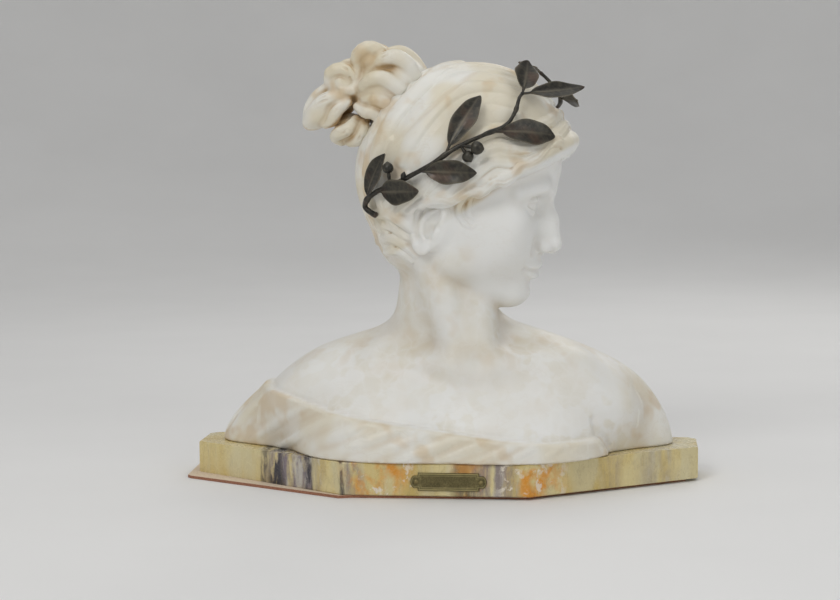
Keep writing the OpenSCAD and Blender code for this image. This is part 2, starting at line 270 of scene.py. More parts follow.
def face(c):
    def he(p, r, k, tilt=0, turn=0, roll=0):
        c.add(ell(hp(*p), V(*r) * S, RH @ rot("z", turn) @ rot("y", tilt) @ rot("x", roll)), k * S)

    def hcut(p, r, k, tilt=0, turn=0, roll=0):
        c.cut(ell(hp(*p), V(*r) * S, RH @ rot("z", turn) @ rot("y", tilt) @ rot("x", roll)), k * S)

    def hcap(a, b, ra, rb, k):
        c.add(cap(hp(*a), hp(*b), ra * S, rb * S), k * S)

    he((-4, 0, 122), (86, 68, 78), 10)
    he((30, 0, 80), (51, 55, 54), 12)
    he((40, 0, 134), (43, 44, 36), 12)
    he((55, 0, 47), (32.5, 30, 28), 12)
    he((34, 0, 30), (40, 36, 24), 14)
    he((70, 0, 15), (16, 17, 14.5), 14)
    for s in (-1, 1):
        hcap((66, s * 9, 12), (12, s * 45, 34), 12, 12, 12)
        hcap((12, s * 45, 34), (2, s * 56, 76), 13, 9, 14)
        he((46, s * 31, 60), (28, 22, 30), 18)
        he((20, s * 40, 62), (36, 17, 36), 20)
        he((46, s * 36, 80), (22, 15, 14), 18, turn=s * 24)
        # brow
        hcap((77, s * 9, 113), (73.5, s * 31, 117), 5.6, 6, 12)
        hcap((73.5, s * 31, 117), (57, s * 49, 110), 6, 6, 12)
        hcut((88.5, s * 30, 101), (20.5, 17.5, 11), 10, turn=s * 12)
        hcut((80, s * 15.5, 100), (8, 6, 9), 6)
    # nose
    hcap((76, 0, 108), (88, 0, 88), 6.2, 5.6, 7)
    hcap((88, 0, 88), (95.4, 0, 69), 5.6, 6.8, 6)
    he((82, 0, 80), (13, 12, 22), 8, tilt=-18)
    he((95.5, 0, 66.5), (8.0, 7.6, 6.6), 5)
    for s in (-1, 1):
        he((87, s * 10.2, 63), (9, 5.4, 6.2), 3.5, turn=s * -14)
    hcap((97, 0, 61.5), (86, 0, 57), 3.2, 3.4, 3)
    for s in (-1, 1):
        hcut((90.5, s * 6.0, 56.6), (5.6, 2.6, 3.6), 1.6, turn=s * -18)
        hcut((80, s * 18.5, 61), (4, 2.4, 7), 6, turn=s * -20)
    # mouth
    mouth = tube([hp(76.5, -21, 39.4), hp(82.6, -14, 41.4), hp(86.3, -6, 43.6), hp(86.0, 0, 42.6), hp(86.3, 6, 43.6), hp(82.6, 14, 41.4), hp(76.5, 21, 39.4)],
                 V(1.4, 3.1, 3.8, 3.6, 3.8, 3.1, 1.4) * S, 22)
    c.add(mouth, 4.2 * S)
    c.add(tube([hp(77, -19, 37.2), hp(82.6, -12, 34.6), hp(85.4, -5, 33.4), hp(85.7, 0, 33.2), hp(85.4, 5, 33.4), hp(82.6, 12, 34.6), hp(77, 19, 37.2)],
               V(1.4, 3.5, 4.5, 4.6, 4.5, 3.5, 1.4) * S, 22), 4.2 * S)
    c.cut(tube([hp(78.5, -22, 38.6), hp(85.2, -14, 38.8), hp(89.8, -6, 38.9), hp(90.2, 0, 38.1), hp(89.8, 6, 38.9), hp(85.2, 14, 38.8), hp(78.5, 22, 38.6)],
               V(1.0, 1.0, 1.1, 1.1, 1.1, 1.0, 1.0) * S, 22), 1.4 * S)
    for s in (-1, 1):
        hcut((79, s * 22.5, 38.2), (3, 2.0, 2.2), 3)
    c.cut(cap(hp(91.5, 0, 55), hp(93.2, 0, 47.5), 1.6 * S, 2.2 * S), 3 * S)
    hcut((93, 0, 24), (8, 15, 5), 7)
    # eyes
    for s in (-1, 1):
        ey = hp(60.5, s * 29, 100)
        i = c.near(ey, 20 * S)
        if not len(i):
            continue
        q = ((c.P[i] - ey.astype(f32)) @ RH.astype(f32)) / S
        u, v = s * q[..., 1], q[..., 2] - 0.05 * s * q[..., 1]
        r = np.sqrt((q * q).sum(-1))
        t = np.clip((u + 0.3) / 13.6, -1, 1)
        arch = np.sqrt(np.clip(1 - t * t, 0, 1))
        top = -1.4 + 4.6 * arch + 0.5 * (1 - t) * arch
        low = -1.4 - 3.0 * arch - 0.3 * (1 + t) * arch
        gap = np.maximum(np.maximum(v - top, low - v), (np.abs(u + 0.3) - 13.2) * 0.7)
        front = q[..., 0] > -2
        lid = smax(r - 14.7, -gap * 0.9, 0.9)
        lid = np.where(front, lid, r - 14.0)
        ball = r - 13.1
        D = c.D[i]
        D = smin(D, lid * S, 2.6 * S)
        # lid fold above, and the soft edge below
        fold = np.exp(-(((v - (top + 4.6 + 0.8 * arch)) / 1.15) ** 2)) * step01(15, 11, np.abs(u)) * step01(0, 6, q[..., 0])
        D = D + 0.95 * fold
        # open the gap down to the ball
        D = smax(D, -np.maximum(gap, r - 16.5) * S * 0.9, 0.7)
        D = smin(D, ball * S, 0.35)
        c.D[i] = D


def ear(c, s):
    """One ear: s is -1 for her right ear. Built on a plane that leans back and stands off the skull."""
    o = hp(-12, s * 60.5, 58)
    A = RH @ rot("z", s * 20) @ rot("y", 8)

    def at(u, w, out):
        return o + A @ V(u, 0, w) * S * 0.98 + A @ V(0, s, 0) * out * S

    c.add(ell(at(-3, 1, 1.0), V(15.5, 5.0, 25.5) * S, A), 4)
    c.add(ell(at(7, -2, -2), V(10, 6, 17) * S, A), 8)
    c.cut(ell(at(-1, 2, 8.6), V(12.5, 5.4, 19.5) * S, A), 2.5)
    c.add(tube([at(5, 0, 2.6), at(9.5, 9, 4.4), at(7.5, 20, 5.4), at(-1, 26, 6.0), at(-11, 23.5, 6.4), at(-17, 12, 6.4), at(-17.5, -2, 6.0), at(-13.5, -14, 5.2), at(-8, -22, 4.4)],
               V(1.8, 2.6, 3.2, 3.4, 3.4, 3.3, 3.1, 3.0, 3.4) * S, 30), 2.2)
    c.add(tube([at(0.5, -14, 4.6), at(-6, -10, 4.8), at(-9.4, -1, 5.0), at(-7.5, 9, 5.0), at(-1, 16, 4.6), at(4, 20, 4.0)], V(2.6, 2.9, 3.1, 3.0, 2.5, 1.8) * S, 18), 2.6)
    c.add(cap(at(-7, 7, 4.8), at(-9.5, 17, 4.2), 2.4 * S, 1.8 * S), 2.4)
    c.add(ell(at(7.5, -4.5, 4.4), V(3.6, 3.2, 5.4) * S, A), 2.5)
    c.add(ell(at(-1.5, -23.0, 3.2), V(8.0, 4.0, 7.0) * S, A), 3.5)
    c.cut(ell(at(0.8, -4.0, 5.2), V(4.6, 4.4, 7.6) * S, A), 2)


def hair_mass(c):
    d1, c1, r1 = ell(HAIR_C, HAIR_R - V(2.2, 2.2, 2.2))
    n, p0 = HAIRLINE_N.astype(f32), HAIRLINE_P.astype(f32)

    def d(P):
        x, z = P[..., 0], P[..., 2]
        low = z - np.interp(x, EAR_X, EAR_TOP).astype(f32)
        rear = np.interp(z, EAR_Z, EAR_REAR).astype(f32) - x
        return smax(smax(d1(P), -((P - p0) @ n), 9), -smax(low, rear, 6), 5)

    c.add((d, c1, r1), 5)
    c.add(ell(V(-19, 0, 216.5), (37, 46, 31)), 10)
    # puffed rolls round the forehead, her right then her left
    for s in (-1, 1):
        c.add(tube([hp(86, s * 3, 166), hp(82, s * 22, 160), hp(70, s * 42, 148), hp(50, s * 58, 132), hp(26, s * 66, 112), hp(4, s * 66, 96)],
                   (6.5, 8.5, 9.5, 9.0, 7.5, 6), 20), 7)
        c.add(tube([hp(2, s * 66, 96), hp(-18, s * 65, 92), hp(-36, s * 58, 88)], (6, 6.5, 6), 10), 7)


# ------------------------------------------------------------------ hair
# locks as seen from the front viewpoint: (x, z) points, half width, height, grooves
LOCKS = [
    ([(14, 371), (0, 364), (-14, 352), (-29, 338), (-44, 320), (-54, 300), (-58, 282), (-56, 262)], (7, 8, 9, 9, 9, 9, 8, 6), (3.4, 3.8, 4.0, 4.0, 4.0, 3.8, 3.2, 2), 2),
    ([(-4, 369), (-22, 356), (-38, 342), (-52, 325), (-62, 305), (-66, 286)], (7, 8, 8, 8, 8, 7), (3.0, 3.2, 3.2, 3.2, 3.0, 2.4), 2),
    ([(66, 357), (50, 362), (30, 366), (12, 365), (-2, 357), (-18, 343)], (5, 7, 8, 8, 7, 5), (1.8, 3.0, 3.2, 3.0, 2.6, 1.6), 2),
    ([(66, 350), (50, 355), (32, 358), (14, 356), (0, 347), (-16, 331), (-30, 312)], (5, 6, 7, 7, 7, 7, 5), (1.8, 2.8, 3.0, 3.0, 2.8, 2.4, 1.4), 2),
    ([(70, 342), (54, 347), (36, 349), (18, 347), (2, 337), (-14, 320), (-28, 300), (-36, 284)], (5, 6, 7, 8, 8, 8, 8, 6), (1.8, 2.6, 2.8, 3.0, 3.0, 2.8, 2.4, 1.4), 2),
    ([(70, 333), (54, 338), (36, 339), (18, 334), (2, 322), (-12, 306), (-24, 288), (-30, 272)], (5, 7, 8, 9, 10, 10, 9, 6), (1.8, 2.4, 2.6, 2.6, 2.6, 2.6, 2.4, 1.4), 2),
    ([(66, 322), (50, 326), (34, 326), (16, 318), (2, 304), (-10, 288), (-18, 270)], (5, 7, 8, 9, 10, 9, 6), (1.6, 2.2, 2.4, 2.4, 2.4, 2.2, 1.2), 2),
    ([(104, 326), (92, 318), (76, 312), (58, 312), (42, 310), (26, 300), (10, 286), (-4, 270), (-16, 256)], (7, 8, 9, 8, 8, 8, 8, 7, 5), (2.6, 3.4, 3.4, 3.0, 2.8, 2.8, 2.8, 2.4, 1.4), 3),
    ([(107, 315), (97, 304), (82, 296), (64, 296), (48, 299), (34, 293), (20, 280), (6, 266), (-8, 254)], (7, 8, 8, 7, 7, 7, 7, 6, 5), (3.0, 3.8, 3.8, 3.4, 3.2, 3.2, 3.2, 2.8, 1.6), 3),
    ([(102, 303), (92, 293), (76, 284), (60, 283), (46, 284), (34, 276), (22, 266), (10, 256), (-2, 250)], (6, 7, 7, 6, 6, 6, 6, 6, 5), (2.6, 3.6, 3.8, 3.6, 3.4, 3.2, 3.0, 2.6, 1.6), 2),
    ([(88, 285), (74, 278), (60, 273), (48, 268), (38, 260), (26, 258), (14, 252), (4, 246), (-10, 245), (-22, 241)], (5, 6, 6, 6, 6, 6, 6, 5, 5, 4), (2.6, 3.6, 3.8, 4.0, 4.0, 3.8, 3.6, 3.2, 2.6, 1.4), 2),
    ([(30, 281), (16, 268), (4, 258), (-6, 252), (-18, 248), (-30, 240)], (4, 6, 6, 6, 5, 4), (1.2, 2.6, 3.0, 2.8, 2.4, 1.4), 2),
    ([(0, 276), (-12, 264), (-24, 254), (-36, 244), (-44, 234)], (5, 6, 6, 6, 5), (1.4, 2.6, 2.8, 2.6, 1.6), 2),
    ([(-30, 272), (-40, 260), (-48, 248), (-54, 238)], (6, 7, 6, 5), (1.6, 2.6, 2.6, 1.6), 2),
    ([(-64, 238), (-54, 239), (-44, 236), (-34, 230), (-26, 224)], (5, 6, 6, 6, 4), (2.4, 3.8, 4.2, 3.6, 1.6), 2),
    ([(-62, 226), (-52, 228), (-42, 225), (-34, 219), (-26, 214)], (5, 6, 6, 6, 4), (2.4, 3.8, 4.2, 3.6, 1.6), 2),
    ([(-58, 214), (-48, 217), (-38, 214), (-30, 208), (-24, 202)], (5, 6, 6, 5, 4), (2.4, 3.6, 3.8, 3.0, 1.4), 2),
    ([(-50, 204), (-42, 206), (-34, 203), (-28, 197)], (4, 5, 5, 4), (2.0, 3.2, 3.0, 1.2), 2),
    ([(46, 262), (34, 260), (22, 256), (16, 248), (14, 240), (18, 232), (24, 227), (29, 228)], (3, 4, 4.5, 4.5, 4, 3.5, 3, 2), (1.5, 2.8, 3.4, 3.4, 3.0, 2.4, 1.8, 0.8), 2),
    ([(28, 254), (24, 247), (23, 240), (26, 234)], (2, 3, 3, 2), (0.8, 1.8, 1.8, 0.8), 0),
]
# locks seen only from above, behind or beyond: (azimuth, elevation) on the hair, half width, height, grooves
HIDDEN = [
    ([(0, 48), (-12, 62), (-70, 76), (-150, 66), (-170, 52)], (6, 9, 10, 10, 8), (2.6, 3.2, 3.4, 3.2, 2.4), 3),
    ([(12, 50), (20, 66), (90, 76), (150, 64), (170, 50)], (6, 9, 10, 10, 8), (2.6, 3.2, 3.4, 3.2, 2.4), 3),
    ([(-4, 40), (4, 56), (0, 78), (180, 70), (180, 50)], (5, 7, 8, 8, 6), (2.4, 2.8, 2.8, 2.8, 2.4), 2),
    ([(180, 20), (180, 2), (180, -16), (180, -34)], (8, 9, 8, 6), (2.4, 3.2, 3.2, 2.0), 3),
    ([(-166, 22), (-166, 4), (-168, -14), (-170, -34)], (7, 8, 8, 6), (2.4, 3.2, 3.2, 2.0), 2),
    ([(166, 22), (166, 4), (168, -14), (170, -34)], (7, 8, 8, 6), (2.4, 3.2, 3.2, 2.0), 2),
    ([(-152, 20), (-150, 4), (-150, -12), (-154, -30)], (7, 8, 8, 6), (2.2, 3.0, 3.0, 2.0), 2),
]


def on_hair(az, el, h=0.0):
    r = HAIR_R + h
    return HAIR_C + V(r[0] * math.cos(el * RAD) * math.cos(az * RAD), r[1] * math.cos(el * RAD) * math.sin(az * RAD), r[2] * math.sin(el * RAD))


# ------------------------------------------------------------------ drape
HEM_X = V(-215, -160, -127, -100, -67, -18, 22, 49, 89, 123, 150)
HEM_Z = V(98, 85, 76, 69.5, 65, 59, 54, 50.5, 47.5, 47, 47)
FOLDS = [
    ([(-206, 34), (-196, 50), (-182, 68), (-166, 84)], 7, 2.6), ([(-192, 36), (-178, 54), (-160, 70), (-140, 78)], 7, 2.4),
    ([(-172, 34), (-150, 50), (-124, 64), (-98, 70)], 7, 2.0), ([(-150, 28), (-118, 44), (-84, 60), (-62, 66)], 7, 2.6),
    ([(-128, 24), (-96, 38), (-62, 54), (-40, 61)], 6, 2.2), ([(-104, 22), (-70, 34), (-34, 48), (-8, 57)], 6, 2.8),
    ([(-80, 18), (-44, 30), (-8, 44), (18, 53)], 5, 2.2), ([(-52, 15), (-20, 25), (12, 38), (36, 49)], 6, 2.6),
    ([(-22, 12), (6, 22), (34, 33), (58, 46)], 5, 2.2), ([(8, 10), (36, 20), (60, 31), (84, 44)], 5, 2.6),
    ([(44, 12), (66, 24), (88, 36), (104, 45)], 5, 2.8), ([(78, 14), (94, 26), (108, 37), (120, 45)], 5, 2.2),
    ([(104, 22), (116, 32), (126, 41), (132, 46)], 5, 2.0),
]


def hem(P):
    """Rough distance above the drape's upper edge: under 0 on the cloth."""
    x, y, z = P[..., 0], P[..., 1], P[..., 2]
    # the front edge is seen slightly from the side, so its x slides with y
    xs = x + (x - 160.0) * (-y) / 1746.0
    back = step01(15, 70, y)
    zh = np.interp(xs, HEM_X, HEM_Z).astype(f32) + back * (2 + 0.02 * np.abs(xs))
    up = (z - zh) * 0.96
    right = (xs - (146.0 - (z - 33) * 0.5) - back * 30) * 0.85
    return smax(up, right, 3)


def clothe(c):
    i = np.nonzero(c.C[:, 2] < 130)[0]
    if not len(i):
        return
    P = c.P[i]
    d = hem(P)
    c.D[i] -= 4.2 * step01(0.9, -0.9, d) + 0.35 * np.exp(-(((d + 3.0) / 2.6) ** 2)) - 0.5 * np.exp(-(((d - 2.0) / 1.5) ** 2))


# ------------------------------------------------------------------ build
ROLL_R = V(4.2, 5.8, 7.0, 5.0, 6.2, 4.5, 5.9, 4.3, 5.2, 3.8, 4.2, 3.2, 3.0)
strokes = {}


def trace(pairs):
    """Where rays from the front viewpoint meet the plain form; a ray that misses gives the nearest place on the outline."""
    d = sight(pairs)
    t = np.full(len(pairs), 1746.0 - 115)
    low = np.full(len(pairs), 1e9)
    near = np.zeros((len(pairs), 3))
    for _ in range(30):
        P = CAM + d * t[:, None]
        c = Clay(P[None], P.mean(0)[None], 1e4)
        base(c)
        D = c.D[0]
        m = (D < low) & (low > 0.3)
        low[m], near[m] = D[m], P[m]
        t = t + np.clip(D, -8, 30) * 0.95
    miss = (np.abs(D) > 1.0) | (P[:, 1] > 100)
    P[miss] = near[miss]
    return snap(P) if miss.any() else P


def snap(P):
    """Moves points onto the plain form."""
    P = np.asarray(P, float)
    for _ in range(5):
        e = 0.5
        Q = np.concatenate([P] + [P + V(*v) * e for v in ((1, 0, 0), (-1, 0, 0), (0, 1, 0), (0, -1, 0), (0, 0, 1), (0, 0, -1))])
        c = Clay(Q[None], Q.mean(0)[None], 1e4)
        base(c)
        D = c.D[0].reshape(7, -1)
        g = np.stack([D[1] - D[2], D[3] - D[4], D[5] - D[6]], 1) / (2 * e)
        g /= np.linalg.norm(g, axis=1)[:, None] + 1e-6
        P = P - g * np.clip(D[0], -12, 12)[:, None]
    return P


def base(c):
    body(c)
    face(c)
    hair_mass(c)


def dress(c):
    for p, w, a, n in strokes["hair"]:
        c.stroke(p, np.array(w) * 0.84, np.array(a) * 1.6, n=18, strands=n, groove=0.24, normal=HAIR_C)
    c.D -= c.H
    c.H[:] = 0
    for p in strokes["roll"]:
        c.add(tube(p, ROLL_R, 26), 3.2)
    for p, w, a in strokes["roll_lines"]:
        c.stroke(p, w, a, n=20, soft=True)
    for s in (-1, 1):
        ear(c, s)
    clothe(c)
    for p, w, a in strokes["folds"]:
        c.stroke(p, w, a, n=12)
    i = np.nonzero(c.C[:, 2] < 130)[0]
    if len(i):
        P = c.P[i]
        c.D[i] -= c.H[i] * (0.25 + 0.75 * step01(-1.0, -9, hem(P))) * step01(0.5, -1.5, hem(P))
    c.H[:] = 0
    for p, w, a in strokes["soft"]:
        c.stroke(p, w, a, n=10, soft=True)


def axis(parts):
    """Sample places along one axis: (start, end, spacing) stretches."""
    out = [parts[0][0]]
    for a, b, h in parts:
        while out[-1] + h * 0.5 < b:
            out.append(out[-1] + h)
    while (len(out) % 8) != 0:
        out.append(out[-1] + parts[-1][2])
    return np.array(out, f32)


def voxel_mesh(X, Y, Z, fill, margin, adapt):
    """Fills a grid of blocks where the surface runs and returns (vertices in mm, triangles, quads, normals)."""
    nx, ny, nz = len(X) // 8, len(Y) // 8, len(Z) // 8
    bx, by, bz = X.reshape(nx, 8), Y.reshape(ny, 8), Z.reshape(nz, 8)
    cx, cy, cz = (b.mean(1) for b in (bx, by, bz))
    C = np.stack(np.meshgrid(cx, cy, cz, indexing="ij"), -1).reshape(-1, 3)
    rx, ry, rz = ((b[:, -1] - b[:, 0]) / 2 + 0.6 for b in (bx, by, bz))
    R = np.sqrt((np.stack(np.meshgrid(rx, ry, rz, indexing="ij"), -1) ** 2).sum(-1)).reshape(-1)
    rough = Clay(C[:, None, :], C, 0.5)
    fill(rough)
    D = rough.D[:, 0]
    act = np.nonzero(np.abs(D) < R * 1.25 + margin)[0]
    grid = np.empty((nx * ny * nz, 8, 8, 8), f32)
    grid[:] = np.where(D > 0, 6, -6)[:, None, None, None]
    ix, iy, iz = np.unravel_index(act, (nx, ny, nz))
    Rm = float(R.max())
    step = 2600
    for a in range(0, len(act), step):
        sl = slice(a, a + step)
        n = len(act[sl])
        P = np.empty((n, 8, 8, 8, 3), f32)
        P[..., 0] = bx[ix[sl]][:, :, None, None]
        P[..., 1] = by[iy[sl]][:, None, :, None]
        P[..., 2] = bz[iz[sl]][:, None, None, :]
        c = Clay(P.reshape(n, 512, 3), C[act[sl]], Rm)
        fill(c)
        grid[act[sl]] = np.clip(c.D, -6, 6).reshape(n, 8, 8, 8)
    G = grid.reshape(nx, ny, nz, 8, 8, 8).transpose(0, 3, 1, 4, 2, 5).reshape(nx * 8, ny * 8, nz * 8)
    G = np.ascontiguousarray(G)
    G[0], G[-1], G[:, 0], G[:, -1], G[:, :, 0], G[:, :, -1] = 6, 6, 6, 6, 6, 6
    g = vdb.FloatGrid(6.0)
    g.copyFromArray(G)
    pts, tris, quads = g.convertToPolygons(isovalue=0.0, adaptivity=adapt)
    idx = np.arange(len(X)), np.arange(len(Y)), np.arange(len(Z))
    ax = (X, Y, Z)
    v = np.stack([np.interp(pts[:, k], idx[k], ax[k]) for k in range(3)], 1)

    def sample(q):
        q = [np.clip(q[:, k], 0, G.shape[k] - 1.001) for k in range(3)]
        i = [a.astype(int) for a in q]
        f = [a - b for a, b in zip(q, i)]
        out = 0
        for dx in (0, 1):
            for dy in (0, 1):
                for dz in (0, 1):
                    w = (f[0] if dx else 1 - f[0]) * (f[1] if dy else 1 - f[1]) * (f[2] if dz else 1 - f[2])
                    out = out + w * G[i[0] + dx, i[1] + dy, i[2] + dz]
        return out

    nrm = np.empty_like(v)
    for k in range(3):
        e = np.zeros(3)
        e[k] = 0.6
        a, b = pts + e, pts - e
        h = np.interp(a[:, k], idx[k], ax[k]) - np.interp(b[:, k], idx[k], ax[k])
        nrm[:, k] = (sample(a) - sample(b)) / h
    nrm /= np.linalg.norm(nrm, axis=1)[:, None] + 1e-9

    # how hollow the form is round each point, over two distances
    def bend(mm):
        q = pts + nrm * mm / np.stack([np.interp(pts[:, k] + 1, idx[k], ax[k]) - np.interp(pts[:, k], idx[k], ax[k]) + 1e-6 for k in range(3)], 1)
        return sample(q) / mm

    hollow = np.clip(np.maximum(1 - bend(3.2), 0.9 * (1 - bend(5.4))), 0, 1)
    return v, tris, quads, nrm, hollow


def mesh_object(name, v, faces, attrs=None, normals=None):
    """A smooth-shaded object from vertices in mm."""
    me = bpy.data.meshes.new(name)
    me.from_pydata((np.asarray(v) / 1000.0).tolist(), [], [tuple(int(i) for i in f) for f in faces])
    me.validate()
    me.polygons.foreach_set("use_smooth", [True] * len(me.polygons))
    for key, val in (attrs or {}).items():
        a = me.attributes.new(key, "FLOAT", "POINT")
        a.data.foreach_set("value", np.asarray(val, f32))
    if normals is not None:
        me.normals_split_custom_set_from_vertices(np.asarray(normals, float).tolist())
    o = bpy.data.objects.new(name, me)
    bpy.context.scene.collection.objects.link(o)
    return o


def big_mesh(name, v, tris, quads, attrs=None, normals=None):
    me = bpy.data.meshes.new(name)
    nt, nq = len(tris), len(quads)
    me.vertices.add(len(v))
    me.vertices.foreach_set("co", (v / 1000.0).astype(f32).ravel())
    me.loops.add(nt * 3 + nq * 4)
    loops = np.concatenate([np.asarray(tris)[:, ::-1].ravel() if nt else np.zeros(0, int), np.asarray(quads)[:, ::-1].ravel() if nq else np.zeros(0, int)])
    me.loops.foreach_set("vertex_index", loops.astype(np.int32))
    me.polygons.add(nt + nq)
    me.polygons.foreach_set("loop_start", np.concatenate([np.arange(nt) * 3, nt * 3 + np.arange(nq) * 4]).astype(np.int32))
    me.update(calc_edges=True)
    me.polygons.foreach_set("use_smooth", np.ones(nt + nq, bool))
    for key, val in (attrs or {}).items():
        a = me.attributes.new(key, "FLOAT", "POINT")
        a.data.foreach_set("value", np.asarray(val, f32))
    # turn the faces outwards if they came inside out
    p = me.polygons[nt // 2 if nt else 0]
    if normals is not None:
        k = [np.asarray(normals[me.loops[i].vertex_index]) for i in p.loop_indices]
        if np.dot(np.sum(k, 0), np.array(p.normal)) < 0:
            me.flip_normals()
        me.normals_split_custom_set_from_vertices(normals.astype(float))
    o = bpy.data.objects.new(name, me)
    bpy.context.scene.collection.objects.link(o)
    return o


# ------------------------------------------------------------------ node materials
def tree(name):
    m = bpy.data.materials.new(name)
    m.use_nodes = True
    return m, m.node_tree, m.node_tree.nodes["Principled BSDF"]


def put(nt, kind, **kw):
    n = nt.nodes.new(kind)
    for k, v in kw.items():
        if hasattr(n, k):
            setattr(n, k, v)
        else:
            n.inputs[k.replace("_", " ")].default_value = v
    return n


def link(nt, a, b):
    nt.links.new(a, b)


def coords(nt, scale=(1, 1, 1), bend=0.0, bend_scale=20.0, seed=0.0):
    """The piece's own place in metres, stretched, and pushed about by a slow noise."""
    tc = nt.nodes.new("ShaderNodeTexCoord")
    mp = nt.nodes.new("ShaderNodeMapping")
    mp.inputs["Scale"].default_value = scale
    mp.inputs["Location"].default_value = (seed, seed * 0.7, seed * 0.3)
    link(nt, tc.outputs["Object"], mp.inputs["Vector"])
    if not bend:
        return mp.outputs["Vector"]
    no = put(nt, "ShaderNodeTexNoise", Scale=bend_scale, Detail=3.0)
    link(nt, tc.outputs["Object"], no.inputs["Vector"])
    sub = nt.nodes.new("ShaderNodeVectorMath")
    sub.operation = "SUBTRACT"
    sub.inputs[1].default_value = (0.5, 0.5, 0.5)
    link(nt, no.outputs["Color"], sub.inputs[0])
    sc = nt.nodes.new("ShaderNodeVectorMath")
    sc.operation = "SCALE"
    sc.inputs["Scale"].default_value = bend
    link(nt, sub.outputs[0], sc.inputs[0])
    ad = nt.nodes.new("ShaderNodeVectorMath")
    ad.operation = "ADD"
    link(nt, mp.outputs["Vector"], ad.inputs[0])
    link(nt, sc.outputs[0], ad.inputs[1])
    return ad.outputs[0]


def noise(nt, vec, scale, detail=4.0, rough=0.55):
    n = put(nt, "ShaderNodeTexNoise", Scale=scale, Detail=detail, Roughness=rough)
    link(nt, vec, n.inputs["Vector"])
    return n.outputs["Fac"]


def ramp(nt, fac, stops, ease=False):
    r = nt.nodes.new("ShaderNodeValToRGB")
    r.color_ramp.interpolation = "EASE" if ease else "LINEAR"
    el = r.color_ramp.elements
    while len(el) < len(stops):
        el.new(0.5)
    for e, (p, c) in zip(el, stops):
        e.position = p
        e.color = (c, c, c, 1) if isinstance(c, (int, float)) else (*c, 1)
    link(nt, fac, r.inputs["Fac"])
    return r.outputs["Color"]


def math2(nt, op, a, b, clamp=False):
    n = nt.nodes.new("ShaderNodeMath")
    n.operation = op
    n.use_clamp = clamp
    for i, v in enumerate((a, b)):
        if isinstance(v, (int, float)):
            n.inputs[i].default_value = v
        else:
            link(nt, v, n.inputs[i])
    return n.outputs[0]


def mix(nt, fac, a, b, kind="MIX"):
    n = nt.nodes.new("ShaderNodeMix")
    n.data_type = "RGBA"
    n.blend_type = kind
    if isinstance(fac, (int, float)):
        n.inputs["Factor"].default_value = fac
    else:
        link(nt, fac, n.inputs["Factor"])
    for s, v in (("A", a), ("B", b)):
        i = [x for x in n.inputs if x.name == s and x.type == "RGBA"][0]
        if isinstance(v, tuple):
            i.default_value = (*v, 1)
        else:
            link(nt, v, i)
    return [x for x in n.outputs if x.type == "RGBA"][0]


def attr(nt, name):
    n = nt.nodes.new("ShaderNodeAttribute")
    n.attribute_name = name
    return n.outputs["Fac"]


def bump(nt, bs, height, strength, dist):
    b = put(nt, "ShaderNodeBump", Strength=strength, Distance=dist)
    link(nt, height, b.inputs["Height"])
    link(nt, b.outputs["Normal"], bs.inputs["Normal"])


